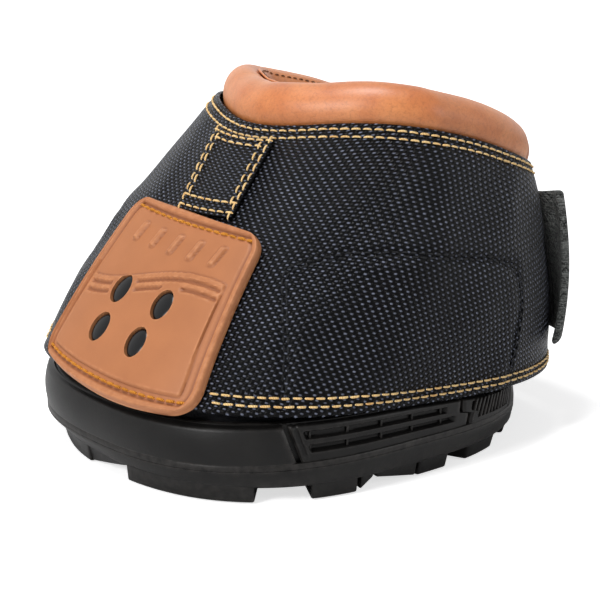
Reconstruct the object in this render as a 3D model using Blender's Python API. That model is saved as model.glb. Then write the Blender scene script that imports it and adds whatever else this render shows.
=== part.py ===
"""A horse's hoof boot: a moulded base, a sewn upper that opens at the heel, and a padded collar.

Frame: metres, +Z up, the toe towards -Y, the heel towards +Y, the origin on the ground under
the middle pad of the tread. A place on the boot is found by its turn, the angle in degrees
round the boot from the toe (0) over the +X side (90) to the heel (180), and by its rise, the
share of the way up the upper from its hem (0) to its mouth (1).
"""
import math

import bmesh
import bpy
from mathutils import Vector

mm = 0.001

# Clearance between touching pieces
gap = 0.3 * mm
seam_gap = 0.7 * mm
layer_gap = 0.5 * mm

# Outline of the moulded base, seen from above
half_width = 77.0 * mm
toe_reach = 79.0 * mm
heel_reach = 84.0 * mm
toe_round_share = 2.6
heel_round_share = 2.8

# Heights of the line between tread and cup, and of the cup's rim
parting_toe = 10.0 * mm
parting_heel = 9.5 * mm
parting_arch = 2.8 * mm
rim_toe = 25.6 * mm
rim_heel = 15.4 * mm
rim_arch = 5.8 * mm
rim_inset = 1.0 * mm

# Tread
lug_depth = 5.0 * mm
lug_sink = 1.5 * mm
lug_width = 17.0 * mm
lug_taper = 1.6 * mm
tread_inset = 3.4 * mm
tread_bevel = 1.4 * mm
toe_rocker = 1.5 * mm
heel_rocker = 0.8 * mm
toe_lug_turn = 9.5
heel_lug_turn = 162.0
side_lug_turns = ((11.5, 47.0), (60.5, 73.0), (93.5, 104.0), (112.0, 124.0), (135.0, 151.0))
pad_half_width = 12.0 * mm
pad_half_length = 9.0 * mm
pad_side_gap = 8.8 * mm
pad_end_gap = 8.4 * mm

# Cup
ledge_height = 2.0 * mm
band_thickness = 3.0 * mm
band_swell = 0.8 * mm
insert_inset = 0.5 * mm
cup_wall = 3.2 * mm
cup_floor = 14.0 * mm
band_end_turn = 56.0
insert_end_turn = 110.0
vent_end_turn = 132.0
pocket_depth = 1.3 * mm
pocket_height = 2.6 * mm
pocket_rib = 1.3 * mm
pocket_end = 4.0 * mm
vent_slot = 1.0 * mm
vent_pitch = 2.3 * mm
vent_depth = 1.5 * mm
vent_slots = 8
vent_margin = 1.4 * mm

# Footbed and the strip that joins base and upper
footbed_thickness = 3.0 * mm
rand_thickness = 1.5 * mm
rand_stand = 1.0 * mm

# Hem of the upper
hem_overhang = 0.9 * mm
heel_overhang = 14.7 * mm
hem_rear_round_share = 3.2
hem_toe = 33.0 * mm
hem_heel = 21.4 * mm

# Mouth of the upper
mouth_centre = 30.7 * mm
mouth_half_width = 58.3 * mm
mouth_front = 40.0 * mm
mouth_rear = 66.0 * mm
mouth_front_round_share = 1.7
mouth_rear_round_share = 3.4
mouth_height = 111.0 * mm
mouth_slope_share = 0.246
mouth_dip = 5.0 * mm

# Bulge of the upper between hem and mouth
toe_bulge = 2.3 * mm
side_bulge = 16.0 * mm
heel_bulge = 1.4 * mm
bulge_low_share = 0.3

# Layers of the upper
fabric = 1.8 * mm
stiffener = 1.2 * mm
foam = 2.6 * mm
lining_top_share = 0.85
lining_foot_share = 0.02

# Stiffener sewn into each side
stiffener_from_turn = 50.0
stiffener_to_turn = 119.0
stiffener_low_share = 0.03
stiffener_high_share = 0.51

# Heel opening
fold_turn = 124.0
inner_end_turn = 184.0
outer_end_turn = 160.0
collar_split_turn = 139.0
tongue_drop_share = 0.88
wrap_start_turn = 235.0
wrap_full_turn = 227.0

# Hook-and-loop closure
loop_thickness = 0.8 * mm
strap_thickness = 2.0 * mm
strap_low_share = 0.13
strap_high_share = 0.86
patch_low_share = 0.18
patch_high_share = 0.80
strap_end_turn = 132.0
strap_square_turn = 150.0
strap_end_slant_share = 0.25
strap_fold_turn = 205.0
strap_root_turn = 226.0
hook_from_turn = 150.0
hook_to_turn = 156.0
loop_from_turn = 147.0

# Padded collar
collar_depth = 18.6 * mm
collar_height = 20.5 * mm
collar_lift_toe = 1.5 * mm
collar_lift_heel = 5.5 * mm
collar_skin = 1.2 * mm
collar_mouth_share = 0.22

# Strap sewn to the front
strap_top_half = 16.7 * mm
strap_foot_half = 14.2 * mm
strap_lean = 7.5 * mm
strap_top_share = 0.935
front_strap_thickness = 1.4 * mm

# Shield
shield_shift = 7.5 * mm
shield_top_half = 35.5 * mm
shield_foot_half = 43.0 * mm
shield_bow = 2.6 * mm
shield_low_share = -0.01
shield_high_share = 0.588
shield_corner = 9.0 * mm
shield_plate = 2.3 * mm
shield_rim = 1.3 * mm
shield_rim_width = 3.6 * mm
shield_rim_slope = 1.2 * mm
shield_recess = 1.3 * mm
shield_step = 8.0 * mm
backing = 0.7 * mm
hole_half_width = 4.6 * mm
hole_half_height = 5.8 * mm
hole_place_shares = ((-0.44, 0.54), (0.24, 0.51), (-0.51, 0.29), (0.14, 0.27))
dome_inset = 0.6 * mm

# Fineness of the faceting, in columns round the boot and rows up it
ring_columns = 60
step_turn = 360 / ring_columns
wall_rows = 7
collar_facets = 8
oval_facets = 12


def heelward(turn):
    """0 at the toe, 1 at the heel."""
    return (1 - math.cos(math.radians(turn))) / 2


def arched(turn, toe, heel, arch):
    """A height that runs from toe to heel and arches over the sides."""
    back = heelward(turn)
    return toe + (heel - toe) * back + arch * 4 * back * (1 - back)


def outline(turn, wide, front, rear, front_share, rear_share):
    """A rounded outline, flatter than an ellipse where its share is above 2."""
    side = math.sin(math.radians(turn))
    along = math.cos(math.radians(turn))
    reach = front if along >= 0 else rear
    share = front_share if along >= 0 else rear_share
    radius = (abs(side / wide) ** share + abs(along / reach) ** share) ** (-1 / share)
    return radius * side, -radius * along


def parting(turn):
    return arched(turn, parting_toe, parting_heel, parting_arch)


def rim(turn):
    return arched(turn, rim_toe, rim_heel, rim_arch)


def base_point(turn, inset, height):
    """A point on the base's outline, moved in by its inset."""
    x, y = outline(turn, half_width - inset, toe_reach - inset, heel_reach - inset,
                   toe_round_share, heel_round_share)
    return Vector((x, y, height))


def hem_point(turn):
    x, y = outline(turn, half_width + hem_overhang, toe_reach + hem_overhang,
                   heel_reach + hem_overhang + heel_overhang, toe_round_share, hem_rear_round_share)
    return Vector((x, y, arched(turn, hem_toe, hem_heel, 0)))


def mouth_point(turn):
    x, y = outline(turn, mouth_half_width, mouth_front, mouth_rear,
                   mouth_front_round_share, mouth_rear_round_share)
    dip = mouth_dip * math.cos(math.radians(2 * turn))
    return Vector((x, y + mouth_centre, mouth_height - mouth_slope_share * y - dip))


def wall_frame(turn):
    """Hem point, run from hem to mouth, and outward direction of the upper's cut at a turn."""
    foot = hem_point(turn)
    run = mouth_point(turn) - foot
    ahead = hem_point(turn + 1) + mouth_point(turn + 1)
    behind = hem_point(turn - 1) + mouth_point(turn - 1)
    return foot, run, (ahead - behind).cross(run).normalized()


def bulge(turn):
    back = heelward(turn)
    return toe_bulge * (1 - back) ** 2 + side_bulge * 2 * back * (1 - back) + heel_bulge * back ** 2


def wall(turn, rise, out):
    """A point of the upper's outer face, moved out along the cut's outward direction."""
    foot, run, outward = wall_frame(turn)
    swell = 4 * max(rise, 0.0) * (1 - rise) * (1 + bulge_low_share * (1 - 2 * rise))
    return foot + run * rise + outward * (bulge(turn) * swell + out)


def turn_at(arc, rise):
    """The turn at a given distance round the boot from the toe line, at one rise."""
    step = math.copysign(1.0, arc)
    turn = 0.0
    here = wall(turn, rise, 0)
    left = abs(arc)
    while True:
        there = wall(turn + step, rise, 0)
        length = (there - here).length
        if length >= left:
            return turn + step * left / length
        left -= length
        turn += step
        here = there


def material(name, colour, roughness, metallic=0.0):
    made = bpy.data.materials.new(name)
    made.use_nodes = True
    shader = made.node_tree.nodes["Principled BSDF"]
    shader.inputs["Base Color"].default_value = (*colour, 1.0)
    shader.inputs["Roughness"].default_value = roughness
    shader.inputs["Metallic"].default_value = metallic
    return made


def add_object(name, points, faces, finish):
    """A closed solid from points and faces, with its faces turned outwards."""
    mesh = bpy.data.meshes.new(name)
    mesh.from_pydata([tuple(point) for point in points], [], faces)
    shaped = bmesh.new()
    shaped.from_mesh(mesh)
    bmesh.ops.recalc_face_normals(shaped, faces=shaped.faces)
    if shaped.calc_volume(signed=True) < 0:
        bmesh.ops.reverse_faces(shaped, faces=shaped.faces)
    bmesh.ops.triangulate(shaped, faces=[face for face in shaped.faces if len(face.verts) > 4])
    shaped.to_mesh(mesh)
    shaped.free()
    mesh.materials.append(finish)
    made = bpy.data.objects.new(name, mesh)
    bpy.context.scene.collection.objects.link(made)
    return made


def combine(target, tool, operation):
    """Joins a tool to its target, or cuts it out, and removes the tool."""
    step = target.modifiers.new(operation, "BOOLEAN")
    step.operation = operation
    step.object = tool
    bpy.context.view_layer.update()
    evaluated = target.evaluated_get(bpy.context.evaluated_depsgraph_get())
    mesh = bpy.data.meshes.new_from_object(evaluated)
    target.modifiers.clear()
    target.data = mesh
    bpy.data.objects.remove(tool)


def marks(first, last, step):
    """The two ends and the multiples of a step between them, so that neighbours' facets agree."""
    inner = math.ceil(first / step - 1 / 5)
    outer = math.floor(last / step + 1 / 5)
    between = [step * i for i in range(inner, outer + 1)]
    spare = step / 5
    return [first] + [mark for mark in between if first + spare < mark < last - spare] + [last]


def turns_between(first, last):
    return marks(first, last, step_turn)


def sweep(name, sections, finish):
    """A bar: equal rings of points, one after another, with both ends closed."""
    size = len(sections[0])
    points = [point for section in sections for point in section]
    faces = []
    for i in range(len(sections) - 1):
        for j in range(size):
            k = (j + 1) % size
            faces.append((i * size + j, (i + 1) * size + j, (i + 1) * size + k, i * size + k))
    faces.append(tuple(range(size)))
    faces.append(tuple(range(len(points) - size, len(points))))
    return add_object(name, points, faces, finish)


def bowl(name, profile, low_centre, high_centre, finish):
    """A solid of revolution-like rings; profile(turn) runs from its underside to its top."""
    rings = [profile(360 * i / ring_columns) for i in range(ring_columns)]
    size = len(rings[0])
    points = [point for ring in rings for point in ring] + [low_centre, high_centre]
    faces = []
    for i in range(ring_columns):
        k = (i + 1) % ring_columns
        for j in range(size - 1):
            faces.append((i * size + j, k * size + j, k * size + j + 1, i * size + j + 1))
        faces.append((i * size, len(points) - 2, k * size))
        faces.append((i * size + size - 1, k * size + size - 1, len(points) - 1))
    return add_object(name, points, faces, finish)


def hoop(name, profile, finish):
    """A closed ring round the whole boot; profile(turn) is its closed section."""
    rings = [profile(360 * i / ring_columns) for i in range(ring_columns)]
    size = len(rings[0])
    points = [point for ring in rings for point in ring]
    faces = []
    for i in range(ring_columns):
        k = (i + 1) % ring_columns
        for j in range(size):
            m = (j + 1) % size
            faces.append((i * size + j, k * size + j, k * size + m, i * size + m))
    return add_object(name, points, faces, finish)


def constant(value):
    return lambda turn: value


def straight(turn, rise):
    return turn


def layer(name, turns, low, high, inside, outside, finish, reach=constant(1), slant=straight):
    """A sheet of the upper between two rises; inside and outside give its faces' offsets."""
    columns = len(turns)
    rises = marks(low, high, 1 / wall_rows)
    points = []
    for offset in (outside, inside):
        for turn in turns:
            for rise in rises:
                points.append(wall(slant(turn, rise), low + (rise - low) * reach(turn), offset(turn)))
    tall = len(rises)
    rows = tall - 1
    back = columns * tall
    faces = []
    for i in range(columns - 1):
        for j in range(rows):
            a = i * tall + j
            b = back + a
            faces += [(a, a + tall, a + tall + 1), (a, a + tall + 1, a + 1)]
            faces += [(b, b + tall + 1, b + tall), (b, b + 1, b + tall + 1)]
        for edge in (i * tall, i * tall + rows):
            faces.append((edge, edge + tall, back + edge + tall, back + edge))
    for edge in (0, (columns - 1) * tall):
        for j in range(rows):
            faces.append((edge + j, edge + j + 1, back + edge + j + 1, back + edge + j))
    return add_object(name, points, faces, finish)


def half_seam(turn):
    """The turn taken up by half a seam's gap."""
    foot, run, outward = wall_frame(turn)
    return math.degrees(seam_gap / 2 / math.hypot(foot.x, foot.y))


def make_tread(rubber):
    """The outsole: a plate with lugs round its edge and pads down its middle."""
    def plate(turn):
        return [base_point(turn, tread_inset - tread_bevel, lug_depth),
                base_point(turn, tread_bevel / 2, lug_depth + tread_bevel),
                base_point(turn, 0, parting(turn) - gap)]

    middle = parting_toe + parting_arch / 2
    tread = bowl("outsole", plate, Vector((0, 0, lug_depth)), Vector((0, 0, middle - gap)), rubber)

    def lug(first, last, lift):
        outer = tread_inset + lug_taper
        sections = []
        for turn in turns_between(first, last):
            sections.append([base_point(turn, tread_inset, lift),
                             base_point(turn, tread_bevel, lug_depth + lug_sink),
                             base_point(turn, outer + lug_width, lug_depth + lug_sink),
                             base_point(turn, outer + lug_width - lug_taper, lift)])
        return sweep("lug", sections, rubber)

    lugs = [(-toe_lug_turn, toe_lug_turn, toe_rocker),
            (heel_lug_turn, 360 - heel_lug_turn, heel_rocker)]
    for first, last in side_lug_turns:
        lugs.append((first, last, 0))
        lugs.append((-last, -first, 0))
    for first, last, lift in lugs:
        combine(tread, lug(first, last, lift), "UNION")

    margin = tread_inset + lug_taper + lug_width + lug_taper
    pitch = toe_reach - margin - pad_end_gap - pad_half_length
    spread = half_width - margin - pad_side_gap - pad_half_width

    def pad(x, y):
        sections = []
        for height, flare in ((0, 0), (lug_depth + lug_sink, lug_taper)):
            wide = pad_half_width + flare
            long = pad_half_length + flare
            sections.append([Vector((x - wide, y - long, height)), Vector((x + wide, y - long, height)),
                             Vector((x + wide, y + long, height)), Vector((x - wide, y + long, height))])
        return sweep("pad", sections, rubber)

    for x, y in ((0, -pitch), (0, 0), (0, pitch), (-spread, -pitch / 2), (spread, -pitch / 2),
                 (-spread, pitch / 2), (spread, pitch / 2)):
        combine(tread, pad(x, y), "UNION")


def cup_inside():
    return band_thickness + cup_wall


def make_cup(rubber):
    """The cup that holds the hoof: a floor and a wall, stepped in where the bands seat."""
    def wall_profile(turn):
        shelf = parting(turn) + ledge_height
        return [base_point(turn, 0, parting(turn)),
                base_point(turn, 0, shelf),
                base_point(turn, band_thickness, shelf),
                base_point(turn, band_thickness, rim(turn)),
                base_point(turn, cup_inside(), rim(turn)),
                base_point(turn, cup_inside(), min(cup_floor, rim(turn) - gap))]

    middle = parting_toe + parting_arch / 2
    bowl("base_cup", wall_profile, Vector((0, 0, middle)), Vector((0, 0, cup_floor)), rubber)


def band_section(turn, inset, swell, top_inset):
    """Section of a band on the cup's ledge: a swelling face, a rounded top and a flat back."""
    foot = parting(turn) + ledge_height + gap
    top = rim(turn)
    tall = top - foot
    back = band_thickness - gap
    return [base_point(turn, inset, foot),
            base_point(turn, inset - swell, foot + tall / 2),
            base_point(turn, top_inset, top - tall / 8),
            base_point(turn, (top_inset + back) / 2, top),
            base_point(turn, back, top - tall / 8),
            base_point(turn, back, foot)]


def make_bands(rubber):
    """Toe band, the slotted insert on each side and the vented panel at each heel quarter."""
    sections = [band_section(turn, 0, band_swell, rim_inset)
                for turn in turns_between(-band_end_turn, band_end_turn)]
    sweep("toe_band", sections, rubber)
    for side, sign in (("right", 1), ("left", -1)):
        pause = half_seam(band_end_turn)
        first = band_end_turn + pause * 2
        last = insert_end_turn - pause
        sections = [band_section(sign * turn, insert_inset, 0, rim_inset + insert_inset)
                    for turn in turns_between(first, last)]
        insert = sweep("side_insert_" + side, sections, rubber)
        for row in (0, 1):
            combine(insert, pocket(sign, first, last, row, rubber), "DIFFERENCE")
        sections = [band_section(sign * turn, 0, 0, rim_inset)
                    for turn in turns_between(insert_end_turn + pause, vent_end_turn)]
        vents = sweep("heel_vent_" + side, sections, rubber)
        for index in range(vent_slots):
            combine(vents, vent(sign, index, rubber), "DIFFERENCE")
        sections = [band_section(sign * turn, 0, 0, rim_inset)
                    for turn in turns_between(vent_end_turn + 2 * pause, 180 - pause)]
        sweep("heel_band_" + side, sections, rubber)


def pocket(sign, first, last, row, finish):
    """Cutter for one long recess of a side insert."""
    sections = []
    pause = math.degrees(pocket_end / half_width)
    for turn in turns_between(first + pause, last - pause):
        middle = (parting(turn) + ledge_height + rim(turn)) / 2
        low = middle + pocket_rib / 2 - row * (pocket_rib + pocket_height)
        deep = insert_inset + pocket_depth
        proud = insert_inset - pocket_depth
        sections.append([base_point(sign * turn, proud, low),
                         base_point(sign * turn, deep, low),
                         base_point(sign * turn, deep, low + pocket_height),
                         base_point(sign * turn, proud, low + pocket_height)])
    return sweep("pocket", sections, finish)


def vent(sign, index, finish):
    """Cutter for one slanted slot of a vented panel."""
    pitch = math.degrees(vent_pitch / half_width)
    wide = math.degrees(vent_slot / half_width)
    middle = (insert_end_turn + vent_end_turn) / 2
    start = middle + (index - vent_slots / 2) * pitch
    sections = []
    for turn, slant in ((start, 0), (start + wide, 0)):
        low = parting(turn) + ledge_height + gap + vent_margin
        high = rim(turn) - vent_margin
        lean = sign * (turn + pitch)
        sections.append([base_point(sign * turn, -vent_depth, low),
                         base_point(sign * turn, vent_depth, low),
                         base_point(lean, vent_depth, high),
                         base_point(lean, -vent_depth, high)])
    return sweep("slot", sections, finish)


def make_inside(foam_finish, rand_finish):
    """Footbed on the cup's floor, and the strip that joins the cup to the upper."""
    inner = cup_inside() + gap + rand_thickness + gap

    def bed(turn):
        return [base_point(turn, inner, cup_floor + gap),
                base_point(turn, inner, cup_floor + gap + footbed_thickness)]

    bowl("footbed", bed, Vector((0, 0, cup_floor + gap)),
         Vector((0, 0, cup_floor + gap + footbed_thickness)), foam_finish)

    def strip(turn):
        outer = cup_inside() + gap
        low = cup_floor + gap
        high = max(rim(turn), low) + rand_stand
        stack = lining_depth() + 3 * gap
        rise = 3 * lining_foot_share
        return [base_point(turn, outer, low),
                base_point(turn, outer, high),
                wall(turn, rise, -stack),
                wall(turn, rise, -stack - rand_thickness),
                base_point(turn, outer + rand_thickness, high),
                base_point(turn, outer + rand_thickness, low)]

    hoop("joining_rand", strip, rand_finish)


def lining_outer():
    return fabric + layer_gap + stiffener + layer_gap


def lining_depth():
    return lining_outer() + foam


def make_upper(cloth, board, foam_finish):
    """Front and sides of the upper: outer fabric, sewn-in stiffeners and padded lining."""
    edge = fold_turn - half_seam(fold_turn)
    turns = turns_between(-edge, edge)
    layer("upper_shell", turns, 0, 1, constant(-fabric), constant(0), cloth)
    layer("upper_lining", turns, lining_foot_share, lining_top_share,
          constant(-lining_depth()), constant(-lining_outer()), foam_finish)
    for side, sign in (("right", 1), ("left", -1)):
        span = sorted(sign * turn for turn in turns_between(stiffener_from_turn, stiffener_to_turn))
        layer("side_stiffener_" + side, span, stiffener_low_share, stiffener_high_share,
              constant(-fabric - layer_gap - stiffener), constant(-fabric - layer_gap), board)


def wrap(turn):
    """How far the outer flap stands off, so that it clears the inner flap it laps over."""
    clear = gap + loop_thickness + gap + fabric
    along = (wrap_start_turn - turn) / (wrap_start_turn - wrap_full_turn)
    along = min(1, max(0, along))
    return clear * along * along * (3 - 2 * along)


def strap_seat():
    """Height of the closure strap's inner face above the upper's outer face."""
    return gap + loop_thickness + gap + fabric + gap


def strap_slant(turn, rise):
    """The strap's free end slants: towards its top, its last columns draw back."""
    if turn >= strap_square_turn:
        return turn
    climb = (rise - strap_low_share) / (strap_high_share - strap_low_share)
    share = 1 + (strap_end_slant_share - 1) * climb
    return strap_square_turn - (strap_square_turn - turn) * share


def tongue_top(turn):
    """Share of the upper's height that the inner flap reaches: less under the outer collar."""
    return 1 if turn < collar_split_turn - step_turn / 4 else tongue_drop_share


def make_flaps(cloth, foam_finish, webbing, loop_finish, hook_finish):
    """Two heel flaps, the outer over the inner, and the strap that holds them shut."""
    edge = fold_turn + half_seam(fold_turn)
    far_edge = 360 - edge
    flap_top_share = lining_top_share - lining_foot_share
    inner_turns = turns_between(edge, inner_end_turn)
    layer("inner_flap_panel", inner_turns, 0, 1, constant(-fabric), constant(0), cloth, tongue_top)
    layer("inner_flap_lining", inner_turns, lining_foot_share, flap_top_share,
          constant(-lining_depth()), constant(-lining_outer()), foam_finish)
    layer("loop_patch", turns_between(loop_from_turn, inner_end_turn), patch_low_share,
          patch_high_share, constant(gap), constant(gap + loop_thickness), loop_finish)

    layer("outer_flap_panel", turns_between(outer_end_turn, far_edge), 0, 1,
          lambda turn: wrap(turn) - fabric, wrap, cloth)
    layer("outer_flap_lining", turns_between(inner_end_turn + step_turn / 2, far_edge),
          lining_foot_share, flap_top_share,
          constant(-lining_depth()), constant(-lining_outer()), foam_finish)

    pause = half_seam(strap_fold_turn)
    layer("strap_anchor", turns_between(strap_fold_turn + pause, strap_root_turn),
          strap_low_share, strap_high_share,
          constant(strap_seat()), constant(strap_seat() + strap_thickness), webbing)
    layer("closure_strap", turns_between(strap_end_turn, strap_fold_turn - pause),
          strap_low_share, strap_high_share,
          constant(strap_seat()), constant(strap_seat() + strap_thickness), webbing,
          slant=strap_slant)
    layer("strap_hook_patch", turns_between(hook_from_turn, hook_to_turn),
          patch_low_share, patch_high_share,
          constant(gap + loop_thickness + gap), constant(strap_seat() - gap), hook_finish)


upright = Vector((0, 0, 1))


def collar_centre(turn):
    """Middle of the collar's section, seated on the fabric's inner edge, and its way out."""
    foot, run, outward = wall_frame(turn)
    level = Vector((outward.x, outward.y, 0)).normalized()
    lift = arched(turn, collar_lift_toe, collar_lift_heel, 0)
    low = (lift + fabric * outward.z) / (collar_height / 2)
    inward = fabric * level.dot(outward) + gap + collar_depth / 2 * math.sqrt(1 - low ** 2)
    return mouth_point(turn) - level * inward + upright * lift, level


def collar_section(turn, first, last, shrink, facets):
    """Points round an oval section; angles run from its lower inner side over the top."""
    centre, level = collar_centre(turn)
    points = []
    for i in range(facets + 1):
        angle = math.radians(first + (last - first) * i / facets)
        points.append(centre + level * ((collar_depth / 2 - shrink) * math.cos(angle))
                      + upright * ((collar_height / 2 - shrink) * math.sin(angle)))
    return points


def make_collar(name, first, last, leather, foam_finish):
    """A length of padded collar: a leather cover, open along its foot, round a foam core."""
    mouth_angle = 360 * collar_mouth_share / 2
    start = -90 + mouth_angle
    end = 270 - mouth_angle
    covers = []
    cores = []
    for turn in turns_between(first, last):
        outer = collar_section(turn, start, end, 0, collar_facets)
        inner = collar_section(turn, start, end, collar_skin, collar_facets)
        covers.append(outer + inner[::-1])
        cores.append(collar_section(turn, start, end, collar_skin + gap, collar_facets))
    sweep(name + "_cover", covers, leather)
    sweep(name + "_foam", cores, foam_finish)


def make_collars(leather, foam_finish):
    pause = half_seam(fold_turn)
    make_collar("front_collar", -fold_turn + pause, fold_turn - pause, leather, foam_finish)
    make_collar("inner_flap_collar", fold_turn + pause, collar_split_turn - pause,
                leather, foam_finish)
    make_collar("outer_flap_collar", collar_split_turn + pause, 360 - fold_turn - pause,
                leather, foam_finish)


def make_front_strap(cloth):
    """The strap down the front, from below the collar to the shield's top edge."""
    foot_share = shield_rise(0, shield_height() + 2 * gap)
    rows = 3
    columns = 6
    sections = []
    for i in range(rows + 1):
        rise = foot_share + (strap_top_share - foot_share) * i / rows
        half = strap_foot_half + (strap_top_half - strap_foot_half) * i / rows
        middle = strap_lean * (1 - i / rows)
        turns = [turn_at(middle + half * (2 * j / columns - 1), rise) for j in range(columns + 1)]
        front = [wall(turn, rise, gap + front_strap_thickness) for turn in turns]
        rear = [wall(turn, rise, gap) for turn in turns]
        sections.append(front + rear[::-1])
    sweep("front_strap", sections, cloth)


def shield_height():
    foot = wall(0, shield_low_share, 0)
    head = wall(0, shield_high_share, 0)
    return (head - foot).length


def shield_half(high):
    """Half the shield's width at a height above its foot, with its rounded corners."""
    tall = shield_height()
    half = shield_foot_half + (shield_top_half - shield_foot_half) * high / tall
    edge = min(high, tall - high)
    if edge < shield_corner:
        half -= shield_corner - math.sqrt(shield_corner ** 2 - (shield_corner - edge) ** 2)
    return half


def shield_rise(across, high):
    """Rise of a place on the shield, whose top and bottom edges bow outwards."""
    tall = shield_height()
    bowed = high + shield_bow * (2 * high / tall - 1) * (1 - across ** 2)
    return shield_low_share + (shield_high_share - shield_low_share) * bowed / tall


def shield_point(across, high, out):
    """A point on the shield: across from -1 to 1, high above its foot, off the upper by out."""
    rise = shield_rise(across, high)
    return wall(turn_at(shield_shift + shield_half(high) * across, rise), rise, out)


def grid_solid(name, columns, rows, front, back, finish):
    """A curved plate over a grid; front and back give each place's offset."""
    points = [shield_point(across, high, offset(across, high))
              for offset in (front, back) for across in columns for high in rows]
    tall = len(rows)
    half = len(columns) * tall
    faces = []
    for i in range(len(columns) - 1):
        for j in range(tall - 1):
            a = i * tall + j
            b = half + a
            faces += [(a, a + tall, a + tall + 1), (a, a + tall + 1, a + 1)]
            faces += [(b, b + tall + 1, b + tall), (b, b + 1, b + tall + 1)]
        for edge in (i * tall, i * tall + tall - 1):
            faces.append((edge, edge + tall, half + edge + tall, half + edge))
    for edge in (0, half - tall):
        for j in range(tall - 1):
            faces.append((edge + j, edge + j + 1, half + edge + j + 1, half + edge + j))
    return add_object(name, points, faces, finish)


def edge_marks(first, last, step, scale):
    """Marks across a plate, closer together where its rim rises and falls."""
    rim_inner = shield_rim_width + shield_rim_slope
    edges = [inset / scale for inset in (0, shield_rim_slope, shield_rim_width)]
    inner = rim_inner / scale
    return ([first + edge for edge in edges] + marks(first + inner, last - inner, step)
            + [last - edge for edge in edges[::-1]])


def make_shield(moulding, black):
    """The moulded shield with its raised rim and four oval vents, over a domed backing."""
    tall = shield_height()
    mean = (shield_top_half + shield_foot_half) / 2
    rim_inner = shield_rim_width + shield_rim_slope
    top = gap + shield_plate + shield_rim

    def inset(across, high):
        return min((1 - abs(across)) * shield_half(high), high, tall - high)

    def front(across, high):
        depth = inset(across, high)
        if depth < shield_rim_slope / 2:
            return top - shield_rim
        if depth < shield_rim_width + shield_rim_slope / 2:
            return top
        return gap + shield_plate

    def back(across, high):
        return gap if inset(across, high) < rim_inner + shield_rim_slope else gap + shield_recess

    shield = grid_solid("front_shield", edge_marks(-1, 1, shield_step / mean, mean),
                        edge_marks(0, tall, shield_step, 1), front, back, moulding)
    places = [(across, up * tall) for across, up in hole_place_shares]
    for across, high in places:
        combine(shield, oval(across, high, moulding), "DIFFERENCE")

    margin = shield_step + rim_inner
    sheet = grid_solid("shield_backing", marks(margin / mean - 1, 1 - margin / mean, shield_step / mean),
                       marks(margin, tall - margin, shield_step),
                       lambda across, high: gap + backing, lambda across, high: gap, black)
    for across, high in places:
        combine(sheet, dome(across, high, black), "UNION")


def oval_frame(across, high):
    """Middle of a vent on the shield, with directions across, up and out."""
    centre = shield_point(across, high, 0)
    reach = hole_half_width / shield_foot_half
    side = shield_point(across + reach, high, 0) - shield_point(across - reach, high, 0)
    rise = shield_point(across, high + hole_half_height, 0) - centre
    out = side.cross(rise).normalized()
    side.normalize()
    return centre, side, out.cross(side), out


def oval_ring(across, high, half_x, half_y, height):
    """An oval of points that stands square to the shield."""
    centre, side, rise, out = oval_frame(across, high)
    points = []
    for i in range(oval_facets):
        angle = 2 * math.pi * i / oval_facets
        points.append(centre + out * height + side * (half_x * math.cos(angle))
                      + rise * (half_y * math.sin(angle)))
    return points


def oval(across, high, finish):
    """Cutter for one vent."""
    rings = [oval_ring(across, high, hole_half_width, hole_half_height, height)
             for height in (-shield_plate, 2 * shield_plate)]
    return sweep("oval", rings, finish)


def dome(across, high, finish):
    """A domed boss that fills a vent from behind."""
    foot = gap + backing / 2
    top = gap + shield_plate - dome_inset
    wide = hole_half_width - 2 * gap
    tall = hole_half_height - 2 * gap
    shoulder = (foot + 3 * top) / 4
    rings = [oval_ring(across, high, wide, tall, foot),
             oval_ring(across, high, wide, tall, foot + backing),
             oval_ring(across, high, wide * 3 / 4, tall * 3 / 4, shoulder),
             oval_ring(across, high, wide / 4, tall / 4, top)]
    return sweep("dome", rings, finish)


def make_pivot(name, turn, out, moving, carrier=None):
    """An empty on a fold line of the upper, with the pieces that turn about it hung from it."""
    foot, run, outward = wall_frame(turn)
    place = foot + outward * (bulge(turn) + out)
    axis = run.normalized()
    print(name, [round(value, 5) for value in place], [round(value, 5) for value in axis])
    pivot = bpy.data.objects.new(name, None)
    bpy.context.scene.collection.objects.link(pivot)
    pivot.location = place
    pivot.rotation_mode = "QUATERNION"
    pivot.rotation_quaternion = upright.rotation_difference(axis)
    bpy.context.view_layer.update()
    if carrier:
        pivot.parent = carrier
        pivot.matrix_parent_inverse = carrier.matrix_world.inverted()
    for piece in moving:
        bpy.data.objects[piece].parent = pivot
        bpy.data.objects[piece].matrix_parent_inverse = pivot.matrix_world.inverted()
    return pivot


def make_pivots():
    """Fold lines of the two heel flaps, and of the strap where it is sewn to the outer one."""
    outer = make_pivot("outer_flap_hinge", 360 - fold_turn, gap,
                       ["outer_flap_panel", "outer_flap_lining", "outer_flap_collar_cover",
                        "outer_flap_collar_foam", "strap_anchor"])
    make_pivot("inner_flap_hinge", fold_turn, gap,
               ["inner_flap_panel", "inner_flap_lining", "inner_flap_collar_cover",
                "inner_flap_collar_foam", "loop_patch"])
    make_pivot("strap_peel", strap_fold_turn, strap_seat() + strap_thickness + gap,
               ["closure_strap", "strap_hook_patch"], outer)


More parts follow.
